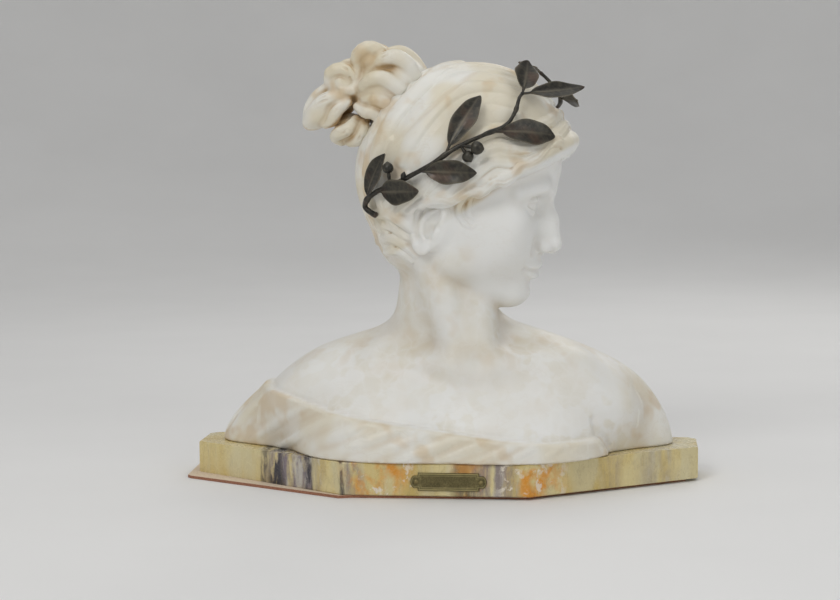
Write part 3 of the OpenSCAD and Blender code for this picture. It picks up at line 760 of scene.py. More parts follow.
def alabaster(name, warm_gain=1.0, tint=(0.800, 0.798, 0.772)):
    """White alabaster with cream clouds, a net of pale veins on the chest and warmer, darker hollows that are partly
    grime and partly painted shade.
    """
    m, nt, bs = tree(name)
    slow = coords(nt, bend=0.02, bend_scale=16)
    warm, hollow_grime_and_shade, chest = attr(nt, "warm"), attr(nt, "hollow"), attr(nt, "chest")
    col = mix(nt, ramp(nt, noise(nt, slow, 9), [(0.35, 0), (0.7, 1)]), tint, (0.850, 0.850, 0.830))
    col = mix(nt, math2(nt, "MULTIPLY", warm, 0.30), col, (0.700, 0.650, 0.500))
    # cream clouds where the stone is warm
    cloud = ramp(nt, noise(nt, coords(nt, bend=0.02, bend_scale=12, seed=1.3), 19, 2, 0.5), [(0.38, 0), (0.62, 1)], True)
    f = math2(nt, "MULTIPLY", math2(nt, "MULTIPLY", cloud, warm), 0.78 * warm_gain, True)
    col = mix(nt, f, col, (0.700, 0.620, 0.445))
    cloud2 = ramp(nt, noise(nt, coords(nt, bend=0.012, bend_scale=30, seed=4.1), 38, 2, 0.45), [(0.53, 0), (0.68, 1)], True)
    col = mix(nt, math2(nt, "MULTIPLY", math2(nt, "MULTIPLY", cloud2, warm), 0.60 * warm_gain, True), col, (0.60, 0.435, 0.235))
    # chest: translucent cream blotches parted by a whiter net
    pick = ramp(nt, noise(nt, coords(nt, bend=0.012, bend_scale=60, seed=7.7), 46, 2, 0.45), [(0.50, 0), (0.575, 1)], True)
    wide = ramp(nt, noise(nt, coords(nt, seed=3.9), 14, 2, 0.5), [(0.35, 0.25), (0.65, 1)], True)
    blot = math2(nt, "MULTIPLY", math2(nt, "MULTIPLY", pick, wide), math2(nt, "MULTIPLY", chest, 0.50), True)
    col = mix(nt, blot, col, (0.700, 0.650, 0.520))
    vo = put(nt, "ShaderNodeTexVoronoi", feature="DISTANCE_TO_EDGE", Scale=62.0)
    link(nt, coords(nt, bend=0.020, bend_scale=50, seed=2.2), vo.inputs["Vector"])
    net = ramp(nt, vo.outputs["Distance"], [(0.0, 1), (0.10, 0.4), (0.22, 0)], True)
    col = mix(nt, math2(nt, "MULTIPLY", math2(nt, "MULTIPLY", net, wide), math2(nt, "MULTIPLY", chest, 0.50), True), col, (0.86, 0.855, 0.83))
    # darker warm brown in the hollows: partly grime settled there, partly painted shade; in the drape's valleys and the
    # creases beside the band it is painted shade only
    h = ramp(nt, hollow_grime_and_shade, [(0.08, 0), (0.70, 1)])
    col = mix(nt, math2(nt, "MULTIPLY", h, math2(nt, "MULTIPLY", math2(nt, "ADD", warm, 0.15), 0.85), True), col, (0.50, 0.355, 0.19))
    # stray hairline veins
    wv = noise(nt, coords(nt, scale=(1, 1, 1.6), bend=0.03, bend_scale=10, seed=9.0), 14, 5, 0.6)
    line = ramp(nt, math2(nt, "ABSOLUTE", math2(nt, "SUBTRACT", wv, 0.5), 0.0), [(0.0, 1), (0.006, 0.35), (0.014, 0)])
    col = mix(nt, math2(nt, "MULTIPLY", line, math2(nt, "ADD", math2(nt, "MULTIPLY", warm, 0.14), 0.06)), col, (0.60, 0.52, 0.40))
    link(nt, col, bs.inputs["Base Color"])
    rg = ramp(nt, noise(nt, slow, 140, 3), [(0.3, 0.36), (0.7, 0.50)])
    link(nt, rg, bs.inputs["Roughness"])
    bs.inputs["Specular IOR Level"].default_value = 0.45
    bs.inputs["Subsurface Weight"].default_value = 0.12
    bs.inputs["Subsurface Radius"].default_value = (1.0, 0.88, 0.72)
    bs.inputs["Subsurface Scale"].default_value = 0.004
    tool = noise(nt, coords(nt), 700, 4, 0.6)
    bump(nt, bs, tool, 0.10, 0.0004)
    return m


def slab_stone(name):
    """Yellow Siena marble with purple and black bands, and orange patches broken by white."""
    m, nt, bs = tree(name)
    tc = nt.nodes.new("ShaderNodeTexCoord")
    base = ramp(nt, noise(nt, coords(nt, scale=(1, 1, 0.35), bend=0.03, bend_scale=14), 26, 3, 0.5),
                [(0.30, (0.54, 0.405, 0.125)), (0.46, (0.64, 0.505, 0.200)), (0.60, (0.72, 0.615, 0.315)), (0.75, (0.60, 0.455, 0.155))])
    fine = ramp(nt, noise(nt, coords(nt, scale=(1.6, 1, 0.5), bend=0.015, bend_scale=40, seed=3), 60, 4, 0.55), [(0.35, 0), (0.70, 1)])
    col = mix(nt, math2(nt, "MULTIPLY", fine, 0.12), base, (0.47, 0.355, 0.145))
    soft = ramp(nt, noise(nt, coords(nt, scale=(1.8, 1.0, 0.25), bend=0.012, bend_scale=20, seed=21), 34, 2, 0.5), [(0.46, 0), (0.64, 1)], True)
    col = mix(nt, math2(nt, "MULTIPLY", soft, 0.55), col, (0.640, 0.595, 0.400))
    # place along the slab, bent so that bands wander
    sep = nt.nodes.new("ShaderNodeSeparateXYZ")
    link(nt, coords(nt, bend=0.020, bend_scale=22, seed=0.0), sep.inputs[0])
    u = math2(nt, "ADD", math2(nt, "MULTIPLY", sep.outputs["X"], 2.0), 0.5)

    def at(x):
        return x * 0.002 + 0.5

    def bands(rows):
        """rows: (x in mm, half width, strength)"""
        st = [(0.0, 0.0)]
        for x, w, a in rows:
            st += [(at(x - w), 0.0), (at(x - w * 0.4), a), (at(x + w * 0.4), a), (at(x + w), 0.0)]
        return ramp(nt, u, st + [(1.0, 0.0)])

    streak = ramp(nt, noise(nt, coords(nt, scale=(2.4, 1.6, 0.45), bend=0.02, bend_scale=30, seed=5), 60, 5, 0.65), [(0.36, 0), (0.58, 1)])
    grey = math2(nt, "MULTIPLY", bands([(-128, 34, 1.0), (-70, 12, 0.8), (48, 30, 0.85), (150, 12, 0.4), (190, 20, 0.35)]), streak, True)
    col = mix(nt, grey, col, (0.215, 0.175, 0.195))
    pale = ramp(nt, noise(nt, coords(nt, scale=(2.0, 1.4, 0.4), bend=0.02, bend_scale=30, seed=6), 75, 4, 0.6), [(0.50, 0), (0.62, 1)])
    col = mix(nt, math2(nt, "MULTIPLY", bands([(-120, 34, 0.6), (44, 36, 0.4), (190, 30, 0.25)]), pale, True), col, (0.66, 0.64, 0.56))
    dark = ramp(nt, noise(nt, coords(nt, scale=(2.0, 1.4, 0.5), bend=0.018, bend_scale=40, seed=8), 60, 4, 0.6), [(0.38, 0), (0.48, 1)])
    col = mix(nt, math2(nt, "MULTIPLY", bands([(-156, 4, 0.7), (-144, 9, 1.0), (-114, 5, 1.0), (-80, 3.5, 1.0), (24, 10, 0.7)]), dark, True), col, (0.035, 0.03, 0.038))
    rust = ramp(nt, noise(nt, coords(nt, scale=(1, 1, 0.8), bend=0.02, bend_scale=26, seed=11), 44, 4, 0.6), [(0.44, 0), (0.60, 1)])
    col = mix(nt, math2(nt, "MULTIPLY", bands([(-50, 34, 1.0), (30, 18, 0.6), (88, 30, 1.0)]), rust, True), col, (0.68, 0.29, 0.030))
    calc = ramp(nt, noise(nt, coords(nt, scale=(1, 1, 0.8), bend=0.02, bend_scale=50, seed=12), 95, 5, 0.65), [(0.55, 0), (0.61, 1)])
    col = mix(nt, math2(nt, "MULTIPLY", bands([(-44, 30, 1.0), (66, 16, 0.9), (96, 22, 0.8), (-170, 14, 0.3)]), calc, True), col, (0.80, 0.73, 0.62))
    # hairline veins everywhere
    wv = noise(nt, coords(nt, scale=(1.8, 1.2, 0.6), bend=0.02, bend_scale=40, seed=15), 40, 5, 0.6)
    line = ramp(nt, math2(nt, "ABSOLUTE", math2(nt, "SUBTRACT", wv, 0.5), 0.0), [(0.0, 1), (0.010, 0.4), (0.02, 0)])
    nrm_z = nt.nodes.new("ShaderNodeSeparateXYZ")
    link(nt, tc.outputs["Normal"], nrm_z.inputs[0])
    flat = ramp(nt, math2(nt, "ABSOLUTE", nrm_z.outputs["Z"], 0.0), [(0.3, 0.22), (0.8, 0.04)])
    col = mix(nt, math2(nt, "MULTIPLY", line, flat), col, (0.25, 0.18, 0.085))
    link(nt, col, bs.inputs["Base Color"])
    rg = ramp(nt, noise(nt, coords(nt), 160, 4), [(0.3, 0.20), (0.75, 0.36)])
    link(nt, rg, bs.inputs["Roughness"])
    bs.inputs["Coat Weight"].default_value = 0.18
    bs.inputs["Coat Roughness"].default_value = 0.18
    bump(nt, bs, noise(nt, coords(nt, scale=(1, 1, 0.6)), 260, 2, 0.5), 0.03, 0.0003)
    return m


def bronze(name, leafy=False):
    """Dark brown patina; on the leaves what stands proud is a lighter, warmer metal, partly rubbed bare and partly
    painted highlight.
    """
    m, nt, bs = tree(name)
    v = coords(nt, bend=0.004, bend_scale=90)
    col = ramp(nt, noise(nt, v, 150, 5, 0.6), [(0.32, (0.012, 0.011, 0.008)), (0.47, (0.026, 0.024, 0.018)), (0.58, (0.055, 0.048, 0.034)), (0.70, (0.030, 0.032, 0.025))])
    red = ramp(nt, noise(nt, coords(nt, seed=3.3), 60, 3, 0.5), [(0.52, 0), (0.68, 1)])
    col = mix(nt, math2(nt, "MULTIPLY", red, 0.5), col, (0.095, 0.045, 0.026))
    if leafy:
        # leaves: midribs, veins and rims lighter and warmer, partly rubbed metal and partly painted highlight
        col = mix(nt, math2(nt, "MULTIPLY", attr(nt, "proud"), 0.85, True), col, (0.190, 0.165, 0.115))
        col = mix(nt, math2(nt, "MULTIPLY", attr(nt, "sunk"), 0.55, True), col, (0.012, 0.011, 0.008))
    link(nt, col, bs.inputs["Base Color"])
    bs.inputs["Metallic"].default_value = 0.50
    bs.inputs["Coat Weight"].default_value = 0.25
    bs.inputs["Coat Roughness"].default_value = 0.28
    rg = ramp(nt, noise(nt, v, 320, 4, 0.6), [(0.3, 0.36), (0.7, 0.56)])
    link(nt, rg, bs.inputs["Roughness"])
    bump(nt, bs, noise(nt, coords(nt), 900, 4, 0.6), 0.22, 0.0003)
    return m


def metal(name, lo, hi, rough, metallic=1.0, scale=260.0, stretch=(1, 1, 1)):
    m, nt, bs = tree(name)
    f = noise(nt, coords(nt, scale=stretch), scale, 5, 0.6)
    link(nt, ramp(nt, f, [(0.3, lo), (0.7, hi)]), bs.inputs["Base Color"])
    link(nt, ramp(nt, f, [(0.3, rough - 0.06), (0.7, rough + 0.08)]), bs.inputs["Roughness"])
    bs.inputs["Metallic"].default_value = metallic
    bump(nt, bs, noise(nt, coords(nt, seed=2), scale * 2.4, 4), 0.18, 0.0003)
    return m


def plate_metal(name):
    m, nt, bs = tree(name)
    f = noise(nt, coords(nt), 240, 5, 0.6)
    col = ramp(nt, f, [(0.3, (0.095, 0.080, 0.032)), (0.55, (0.160, 0.132, 0.055)), (0.75, (0.220, 0.180, 0.078))])
    col = mix(nt, math2(nt, "MULTIPLY", attr(nt, "proud"), 0.85, True), col, (0.34, 0.29, 0.13))
    col = mix(nt, math2(nt, "MULTIPLY", attr(nt, "sunk"), 0.60, True), col, (0.040, 0.036, 0.016))
    link(nt, col, bs.inputs["Base Color"])
    bs.inputs["Metallic"].default_value = 0.6
    link(nt, ramp(nt, noise(nt, coords(nt, seed=1), 420, 4), [(0.3, 0.38), (0.7, 0.55)]), bs.inputs["Roughness"])
    bump(nt, bs, noise(nt, coords(nt, seed=2), 1100, 3), 0.25, 0.0002)
    return m


def board(name):
    """Leather board, cream on its face and reddish brown where the cut edge shows."""
    m, nt, bs = tree(name)
    geo = nt.nodes.new("ShaderNodeNewGeometry")
    sep = nt.nodes.new("ShaderNodeSeparateXYZ")
    tcn = nt.nodes.new("ShaderNodeTexCoord")
    link(nt, tcn.outputs["Normal"], sep.inputs[0])
    edge = ramp(nt, math2(nt, "ABSOLUTE", sep.outputs["Z"], 0.0), [(0.3, 1), (0.8, 0)])
    grain = noise(nt, coords(nt), 420, 5, 0.65)
    top = ramp(nt, grain, [(0.3, (0.60, 0.47, 0.34)), (0.7, (0.76, 0.65, 0.51))])
    cut = ramp(nt, noise(nt, coords(nt, scale=(1, 1, 5)), 500, 4), [(0.3, (0.22, 0.085, 0.045)), (0.7, (0.42, 0.20, 0.12))])
    col = mix(nt, edge, top, cut)
    nt.nodes.remove(geo)
    link(nt, col, bs.inputs["Base Color"])
    link(nt, ramp(nt, grain, [(0.3, 0.72), (0.7, 0.88)]), bs.inputs["Roughness"])
    bump(nt, bs, grain, 0.3, 0.0004)
    return m


def dress_with(o, mat):
    o.data.materials.clear()
    o.data.materials.append(mat)


# ------------------------------------------------------------------ laurel
WC, WR = HAIR_C, HAIR_R
STEM = [[-142, -21, 3.6], [-148.5, -16.5, 6], [-143, -11.5, 6.5], [-132, -7, 6], [-120, -3, 5.5], [-104, 5, 5.5], [-92, 13, 5.5], [-79, 19, 5.5],
        [-67, 24, 5.5], [-60, 31, 6], [-55, 38, 7], [-51, 41, 8]]
STEM_L = [[142, -21, 3.6], [148.5, -16.5, 6], [143, -11.5, 6.5], [130, -7, 6], [118, -2, 5.5], [102, 6, 5.5], [88, 13, 5.5], [74, 20, 5.5],
          [60, 25, 6], [42, 30, 7], [22, 36, 8], [8, 46, 9], [5, 55, 10.5]]
# leaf rows: [place along the stem, angle from the stem, length, width, height at foot, height at tip, fold]
LEAVES = [[0.16, 20, 51, 17.5, 6, 9, 3.0], [0.25, -21, 43, 22, 6, 7, 3.0], [0.42, -28, 52, 21, 5.5, 6.5, 3.0], [0.505, 29, 66, 20, 6, 9, 3.0],
          [0.668, -20, 66, 23, 5.5, 7, 3.0], [0.995, 18, 40, 22, 8, 17, 3.0], [0.985, -40, 60, 17, 8, 30, 3.0]]
LEAVES_L = [[0.15, -24, 48, 18, 6, 9, 3.0], [0.23, 24, 43, 22, 6, 7, 3.0], [0.37, 30, 54, 21, 5.5, 6.5, 3.0], [0.455, -28, 64, 20, 6, 9, 3.0],
            [0.59, 22, 60, 24, 5.5, 7, 3.0], [0.99, 16, 24, 18, 10.5, 9, 2.0], [0.85, 50, 29, 20, 9, 16, 3.0]]


def shell(az, el, h):
    r = WR + h
    return WC + V(r[0] * math.cos(el * RAD) * math.cos(az * RAD), r[1] * math.cos(el * RAD) * math.sin(az * RAD), r[2] * math.sin(el * RAD))


def outward(p):
    return unit((p - WC) / WR**2)


def station(p, u):
    n = len(p) - 1
    w = min(max(u, 0), 0.99999) * n
    i = int(w)
    t = w - i
    a, b, c, d = (np.array(p[j], float) for j in (max(i - 1, 0), i, min(i + 1, n), min(i + 2, n)))
    return 0.5 * (2 * b + (c - a) * t + (2 * a - 5 * b + 4 * c - d) * t * t + (3 * b - a - 3 * c + d) * t**3)


def on_stem(p, u):
    return shell(*station(p, u))


def run_dir(p, u):
    return unit(on_stem(p, min(u + 0.01, 1)) - on_stem(p, max(u - 0.01, 0)))


def drop(o, t, b, x, y, h):
    q = o + t * x + b * y - WC
    return WC + q / np.linalg.norm(q / (WR + h))


def leaf_w(s):
    return 0.09 + 0.25 * s if s < 0.14 else 0.125 + 0.875 * max(0, math.sin(math.pi * ((s - 0.14) / 0.86) ** 0.9)) ** 0.8


def leaf_mesh(name, p, row, seed):
    """A cast leaf: folded blade with a midrib and side veins, a wavy rim, and a round stalk."""
    rng = np.random.default_rng(seed)
    m, k = 46, 9
    o, t0 = on_stem(p, row[0]), run_dir(p, row[0])
    n0 = outward(o)
    b0 = unit(np.cross(n0, t0))
    a = row[1] * RAD
    t = t0 * math.cos(a) + b0 * math.sin(a)
    b = unit(np.cross(n0, t))
    ph = rng.uniform(0, 6.28, 4)
    bendy = rng.uniform(-1.6, 1.6)
    pts, proud, sunk = [], [], []

    def point(s, v, side):
        wave = 0.045 * math.sin(s * 15 + ph[0] + (2 if v > 0 else 0)) * step01(0.15, 0.35, s)
        w = row[3] / 2 * (leaf_w(s) * (1 + wave))
        edge = 1 - abs(v) ** 3
        thick = 0.32 + 0.48 * edge
        stalk = float(step01(0.16, 0.06, s))
        thick = thick * (1 - stalk) + 1.25 * math.sqrt(max(0.02, 1 - v * v)) * stalk
        rib = math.exp(-((v / (0.10 + 0.05 * s)) ** 2)) * (1 - 0.75 * s)
        d = (s - 0.10 - 0.30 * abs(v) * (1 - s)) * 9.5 + ph[1] * 0.2
        vein = math.exp(-(((d - round(d)) / 0.13) ** 2)) * float(step01(0.12, 0.25, s)) * float(step01(1.0, 0.86, s)) * (1 - abs(v) ** 4)
        puff = math.cos(math.pi * (d - round(d)) * 2) * -0.22 * float(step01(0.12, 0.3, s)) * (1 - abs(v)) * min(1, abs(v) * 4)
        blade = 1 - stalk
        h = row[4] + (row[5] - row[4]) * s * s + row[6] * abs(v) ** 1.25 * math.sin(math.pi * min(s, 1)) * blade
        h += 0.55 * math.sin(s * 11 + ph[2] + v) * abs(v) ** 2 * blade
        relief = (0.95 * rib + 0.22 * vein * min(1, abs(v) * 6 + 0.2) + puff) * blade
        h += side * thick + (relief if side > 0 else 0.5 * relief)
        y = w * v + bendy * s * s
        # second value: lightness on the midrib, veins and rim, partly rubbed metal and partly painted highlight
        return drop(o, t, b, row[2] * s, y, h), max(rib * 0.9 * blade, vein * 0.16 * blade, abs(v) ** 12), (1 - max(rib, vein)) * 0.35 * blade * (1 - abs(v) ** 2)

    ring = 4 * k
    for i in range(m + 1):
        s = i / m
        s = s * s * (3 - 2 * s) * 0.35 + s * 0.65
        vs = [math.sin(math.pi / 2 * j / k) for j in range(-k, k + 1)]
        row_pts = [(v, -1) for v in vs] + [(v, 1) for v in vs[-2:0:-1]]
        for v, side in row_pts:
            if abs(v) > 0.999:
                q, pr, su = point(s, v, 0)
            else:
                q, pr, su = point(s, v, side)
            pts.append(q)
            proud.append(pr)
            sunk.append(su)
    ring = len(pts) // (m + 1)
    a0, _, _ = point(-0.02, 0, 0)
    a1, _, _ = point(1.02, 0, 0)
    n = len(pts)
    pts += [a0, a1]
    proud += [0.2, 0.8]
    sunk += [0, 0]
    faces = []
    for i in range(m):
        for j in range(ring):
            q, r = i * ring + j, i * ring + (j + 1) % ring
            faces.append((q, r, r + ring, q + ring))
    for j in range(ring):
        faces.append((n, (j + 1) % ring, j))
        faces.append((n + 1, m * ring + j, m * ring + (j + 1) % ring))
    return fix(mesh_object(name, pts, faces, {"proud": proud, "sunk": sunk}))


def fix(o):
    """Faces turned outwards."""
    import bmesh
    bm = bmesh.new()
    bm.from_mesh(o.data)
    bmesh.ops.recalc_face_normals(bm, faces=bm.faces)
    bm.to_mesh(o.data)
    bm.free()
    return o


def tube_mesh(path, radius, n, rough=0.0, seed=1, up=None):
    """Vertices and faces of a closed tube whose ends are drawn to a soft point."""
    rng = np.random.default_rng(seed)
    path = np.asarray(path, float)
    m = len(path)
    tan = np.gradient(path, axis=0)
    tan /= np.linalg.norm(tan, axis=1)[:, None]
    pts, faces = [], []
    ph = rng.uniform(0, 6.28, 6)
    for i in range(m):
        o = outward(path[i]) if up is None else up
        b = unit(np.cross(tan[i], o))
        w = np.cross(tan[i], b)
        for j in range(n):
            a = 2 * math.pi * j / n
            r = radius[i] * (1 + rough * (math.sin(3 * a + ph[0] + i * 0.5) * 0.5 + math.sin(2 * a + ph[1] + i * 0.21) * 0.5 + math.sin(i * 0.9 + ph[2]) * 0.5))
            pts.append(path[i] + (b * math.cos(a) + w * math.sin(a)) * r)
    for i in range(m - 1):
        for j in range(n):
            q, r = i * n + j, i * n + (j + 1) % n
            faces.append((q, r, r + n, q + n))
    k = len(pts)
    pts += [path[0] - tan[0] * radius[0] * 0.5, path[-1] + tan[-1] * radius[-1] * 0.5]
    for j in range(n):
        faces.append((k, (j + 1) % n, j))
        faces.append((k + 1, (m - 1) * n + j, (m - 1) * n + (j + 1) % n))
    return pts, faces


def join(parts):
    pts, faces = [], []
    for p, f in parts:
        k = len(pts)
        pts += list(p)
        faces += [tuple(i + k for i in q) for q in f]
    return pts, faces


def stem_mesh(name, p, seed):
    m = 190
    us = np.linspace(0, 1, m)
    path = np.array([on_stem(p, u) for u in us])
    r = 2.45 - 1.05 * us + 0.55 * np.exp(-(((us * 6 - np.round(us * 6)) * 8) ** 2))
    r[:4] *= (0.45, 0.75, 0.92, 1)
    r[-4:] *= (1, 0.9, 0.7, 0.4)
    parts = [tube_mesh(path, r, 14, 0.05, seed)]
    # a bud on a short spur
    side = 1 if p is STEM else -1
    for u0, x, y, h, rb in ((0.36, 9.5, 5.0 * side, 8, 2.3),):
        o, t = on_stem(p, u0), run_dir(p, u0)
        b = unit(np.cross(outward(o), t))
        q = np.array([drop(o, t, b, x * s, y * s * s, 5.5 + (h - 5.5) * s) for s in np.linspace(0, 1, 16)])
        s = np.linspace(0, 1, 16)
        parts.append(tube_mesh(q, 1.1 + (rb - 1.1) * np.exp(-(((s - 0.74) / 0.2) ** 2)) - 0.7 * step01(0.85, 1, s), 10, 0.03, seed + 1))
    pts, faces = join(parts)
    return fix(mesh_object(name, pts, faces))


def berry_mesh(name, p, rows, seed):
    rng = np.random.default_rng(seed)
    parts = []
    for u0, x, y, r, h in rows:
        o, t = on_stem(p, u0), run_dir(p, u0)
        b = unit(np.cross(outward(o), t))
        c = drop(o, t, b, x, y, h)
        ax = unit(c - o)
        e1 = unit(np.cross(ax, outward(o)))
        e2 = np.cross(ax, e1)
        ph = rng.uniform(0, 6.28, 4)
        nu, nv = 22, 16
        pts, faces = [], []
        for i in range(nv + 1):
            th = math.pi * (i + 0.02) / (nv + 0.04)
            for j in range(nu):
                a = 2 * math.pi * j / nu
                k = r * (1 + 0.045 * math.sin(2 * a + ph[0]) * math.sin(th) + 0.03 * math.sin(3 * th + ph[1])) * 0.985
                z = math.cos(th) + 0.16 * math.exp(-((th / 0.25) ** 2)) - 0.02
                pts.append(c + (e1 * math.cos(a) * math.sin(th) + e2 * math.sin(a) * math.sin(th) + ax * z) * k)
        for i in range(nv):
            for j in range(nu):
                q, s = i * nu + j, i * nu + (j + 1) % nu
                faces.append((q, s, s + nu, q + nu))
        faces.append(tuple(range(nu)))
        faces.append(tuple(nv * nu + j for j in range(nu)))
        parts.append((pts, faces))
        s = np.linspace(0, 1, 12)
        path = np.array([o + (c - o) * q for q in s])
        parts.append(tube_mesh(path, 1.15 + 0.5 * np.exp(-(((s - 0.55) / 0.2) ** 2)), 10, 0.05, seed))
    pts, faces = join(parts)
    return fix(mesh_object(name, pts, faces))


# ------------------------------------------------------------------ chignon
BUN_A = -48.95
BUN_N = V(math.sin(BUN_A * RAD), 0, math.cos(BUN_A * RAD))
LOOPS = [((-48, 0, 343), (31, 31, 31), 20, 8), ((-58, -7, 370), (14, 17, 14), 0, 4), ((-34, -3, 352), (20, 27, 22), 30, 4), ((-46, 4, 318), (18, 28, 16), 0, 4),
         ((-84, -3, 348), (18, 18, 17), 0, 4), ((-102, 0, 328), (26, 19, 13), -40, 4), ((-80, 2, 310), (15, 20, 15), 0, 4)]
# curls of the knot: line, radius, then grooves
CURLS = [
    ([(-72, -14, 364), (-72, -19, 378), (-62, -20, 385), (-51, -19, 381), (-46, -18, 372), (-52, -20, 365)], (6, 7.5, 8, 8, 7, 5), 2),
    ([(-70, 12, 368), (-68, 16, 380), (-58, 17, 384), (-48, 16, 378), (-44, 14, 368)], (6, 7.5, 8, 8, 6), 2),
    ([(-56, -20, 366), (-47, -25, 374), (-36, -26, 376), (-25, -24, 369), (-18, -20, 358)], (6, 8, 9, 9, 7), 3),
    ([(-44, -8, 380), (-34, -4, 381), (-24, 0, 375), (-16, 2, 365)], (7, 8, 8, 7), 2),
    ([(-44, 18, 376), (-34, 22, 376), (-25, 22, 368), (-19, 18, 357)], (7, 8.5, 8.5, 7), 2),
    ([(-66, -24, 350), (-58, -29, 356), (-47, -30, 357), (-36, -29, 350), (-27, -25, 341), (-22, -20, 333)], (6, 8, 9, 9, 8, 6), 3),
    ([(-64, 22, 350), (-55, 27, 356), (-44, 28, 356), (-34, 27, 349), (-26, 22, 339)], (6, 8, 9, 9, 7), 3),
    ([(-64, -24, 338), (-54, -29, 338), (-44, -29, 334), (-38, -26, 324), (-36, -22, 314)], (5, 7.5, 8, 8, 6), 2),
    ([(-72, -20, 332), (-64, -26, 327), (-56, -27, 326), (-48, -25, 318), (-46, -20, 308)], (5, 7, 7.5, 7, 5), 2),
    ([(-64, 22, 334), (-54, 27, 333), (-45, 26, 326), (-40, 22, 314)], (6, 8, 8, 6), 2),
    ([(-100, -8, 352), (-98, -13, 362), (-88, -16, 366), (-77, -17, 363), (-72, -17, 354), (-77, -20, 347), (-86, -19, 348), (-88, -19, 355)], (5, 7, 8, 8, 7, 6.5, 5.5, 4), 2),
    ([(-98, 8, 352), (-95, 12, 361), (-85, 14, 364), (-75, 15, 358), (-72, 16, 348)], (5, 7, 8, 8, 6), 2),
    ([(-92, -4, 365), (-82, -2, 370), (-72, 0, 368)], (6, 7.5, 6), 2),
    ([(-86, -17, 342), (-97, -17, 340), (-108, -14, 334), (-116, -9, 325)], (6, 8, 8, 6), 3),
    ([(-104, -5, 348), (-112, -2, 340), (-119, 0, 328), (-116, 0, 319)], (6, 8, 7.5, 5), 2),
    ([(-88, 13, 344), (-98, 14, 340), (-109, 12, 332), (-115, 8, 323)], (6, 8, 8, 6), 3),
    ([(-82, -18, 336), (-91, -18, 329), (-96, -15, 320), (-103, -11, 316)], (6, 7.5, 7, 5), 2),
    ([(-84, 15, 332), (-92, 15, 325), (-97, 12, 317)], (6, 7.5, 5), 2),
    ([(-74, -17, 320), (-80, -20, 312), (-89, -17, 308), (-94, -12, 304), (-89, -8, 300)], (5.5, 7.5, 7.5, 6, 5), 2),
    ([(-66, -16, 318), (-67, -19, 310), (-72, -17, 302), (-80, -11, 299)], (5, 7, 7, 5), 2),
    ([(-72, 18, 322), (-78, 20, 312), (-85, 16, 304), (-88, 8, 300)], (5.5, 7.5, 7, 5), 2),
]


def bun(c):
    for p, r, t, k in LOOPS:
        c.add(ell(V(*p) + V(0, 0, PAD), V(*r) - 0.6, rot("y", t)), 3.0)
    for pts, rad, g in CURLS:
        P = np.array(pts, float)
        c.add(tube(P + (V(-62, 0, 340) - P) * 0.05, np.array(rad) * 0.80, 14), 3.0)


def bun_dress(c):
    ctr = V(-62, 0, 340)
    for pts, rad, g in CURLS:
        P = np.array(pts, float)
        rad = np.array(rad, float)
        out = P - ctr
        out /= np.linalg.norm(out, axis=1)[:, None]
        # grooves along each curl, from lines drawn on its outer side
        for s in ((-0.45, 0.45) if g == 2 else (-0.62, 0.0, 0.62)):
            tan = np.gradient(P, axis=0)
            tan /= np.linalg.norm(tan, axis=1)[:, None]
            side = np.cross(tan, out)
            q = P + (out * math.cos(s * 1.2) + side * math.sin(s * 1.2)) * rad[:, None]
            c.stroke(q, 1.35, [0.0] + [-1.25] * (len(P) - 2) + [-0.1], n=14, soft=True)
    p0 = HAIR_C + BUN_N * 90
    pl = (c.P - p0.astype(f32)) @ BUN_N.astype(f32)
    q = (c.P - p0.astype(f32)) - pl[..., None] * BUN_N.astype(f32)
    rad = np.sqrt((q * q).sum(-1))
    h = ell(HAIR_C, HAIR_R - 1.2)[0](c.P)
    solid = np.maximum(h, -np.maximum(-pl, rad - 20.2))
    c.D = np.maximum(c.D, -solid)
    c.D = np.maximum(c.D, -pl - 14)


def seat_bun(c):
    """The flat pocket in the crown that the knot stands in."""
    p0 = (HAIR_C + BUN_N * 90).astype(f32)
    pl = (c.P - p0) @ BUN_N.astype(f32)
    q = (c.P - p0) - pl[..., None] * BUN_N.astype(f32)
    rad = np.sqrt((q * q).sum(-1))
    c.D = np.maximum(c.D, -np.maximum(0.15 - pl, rad - 20.0))


# ------------------------------------------------------------------ make it
# the middle of the near side is one smooth mass, the band behind it stands proud
WIDE = {0: 1.42, 2: 1.25, 3: 1.5, 4: 1.35, 5: 1.5, 6: 1.3}
HIGH = {0: 1.15, 1: 0.85, 2: 0.95, 3: 0.40, 4: 0.75, 5: 0.35, 6: 0.70}
FINE = {0: 1, 3: 0, 4: 1, 5: 0, 6: 1}
strokes["hair"] = []
for i, (pairs, w, a, g) in enumerate(LOCKS):
    strokes["hair"].append((trace(pairs), np.array(w) * (1 + 0.14 * math.sin(i * 2.4)) * WIDE.get(i, 1.0), np.array(a) * (1 + 0.30 * math.sin(i * 1.9 + 1)) * HIGH.get(i, 1.0), FINE.get(i, g)))
for pairs, w, a, g in HIDDEN:
    P = snap([on_hair(az, el) for az, el in pairs])
    strokes["hair"].append((P, w, a, g))
# the far side repeats the near side's locks, mirrored across the head's own middle plane
mirror = []
for k in range(len(LOCKS)):
    P, w, a, g = strokes["hair"][k]
    L = (P - HC) @ RH
    L[:, 1] *= -1
    mirror.append((snap(HC + L @ RH.T), w, a, g))
strokes["hair"] += mirror
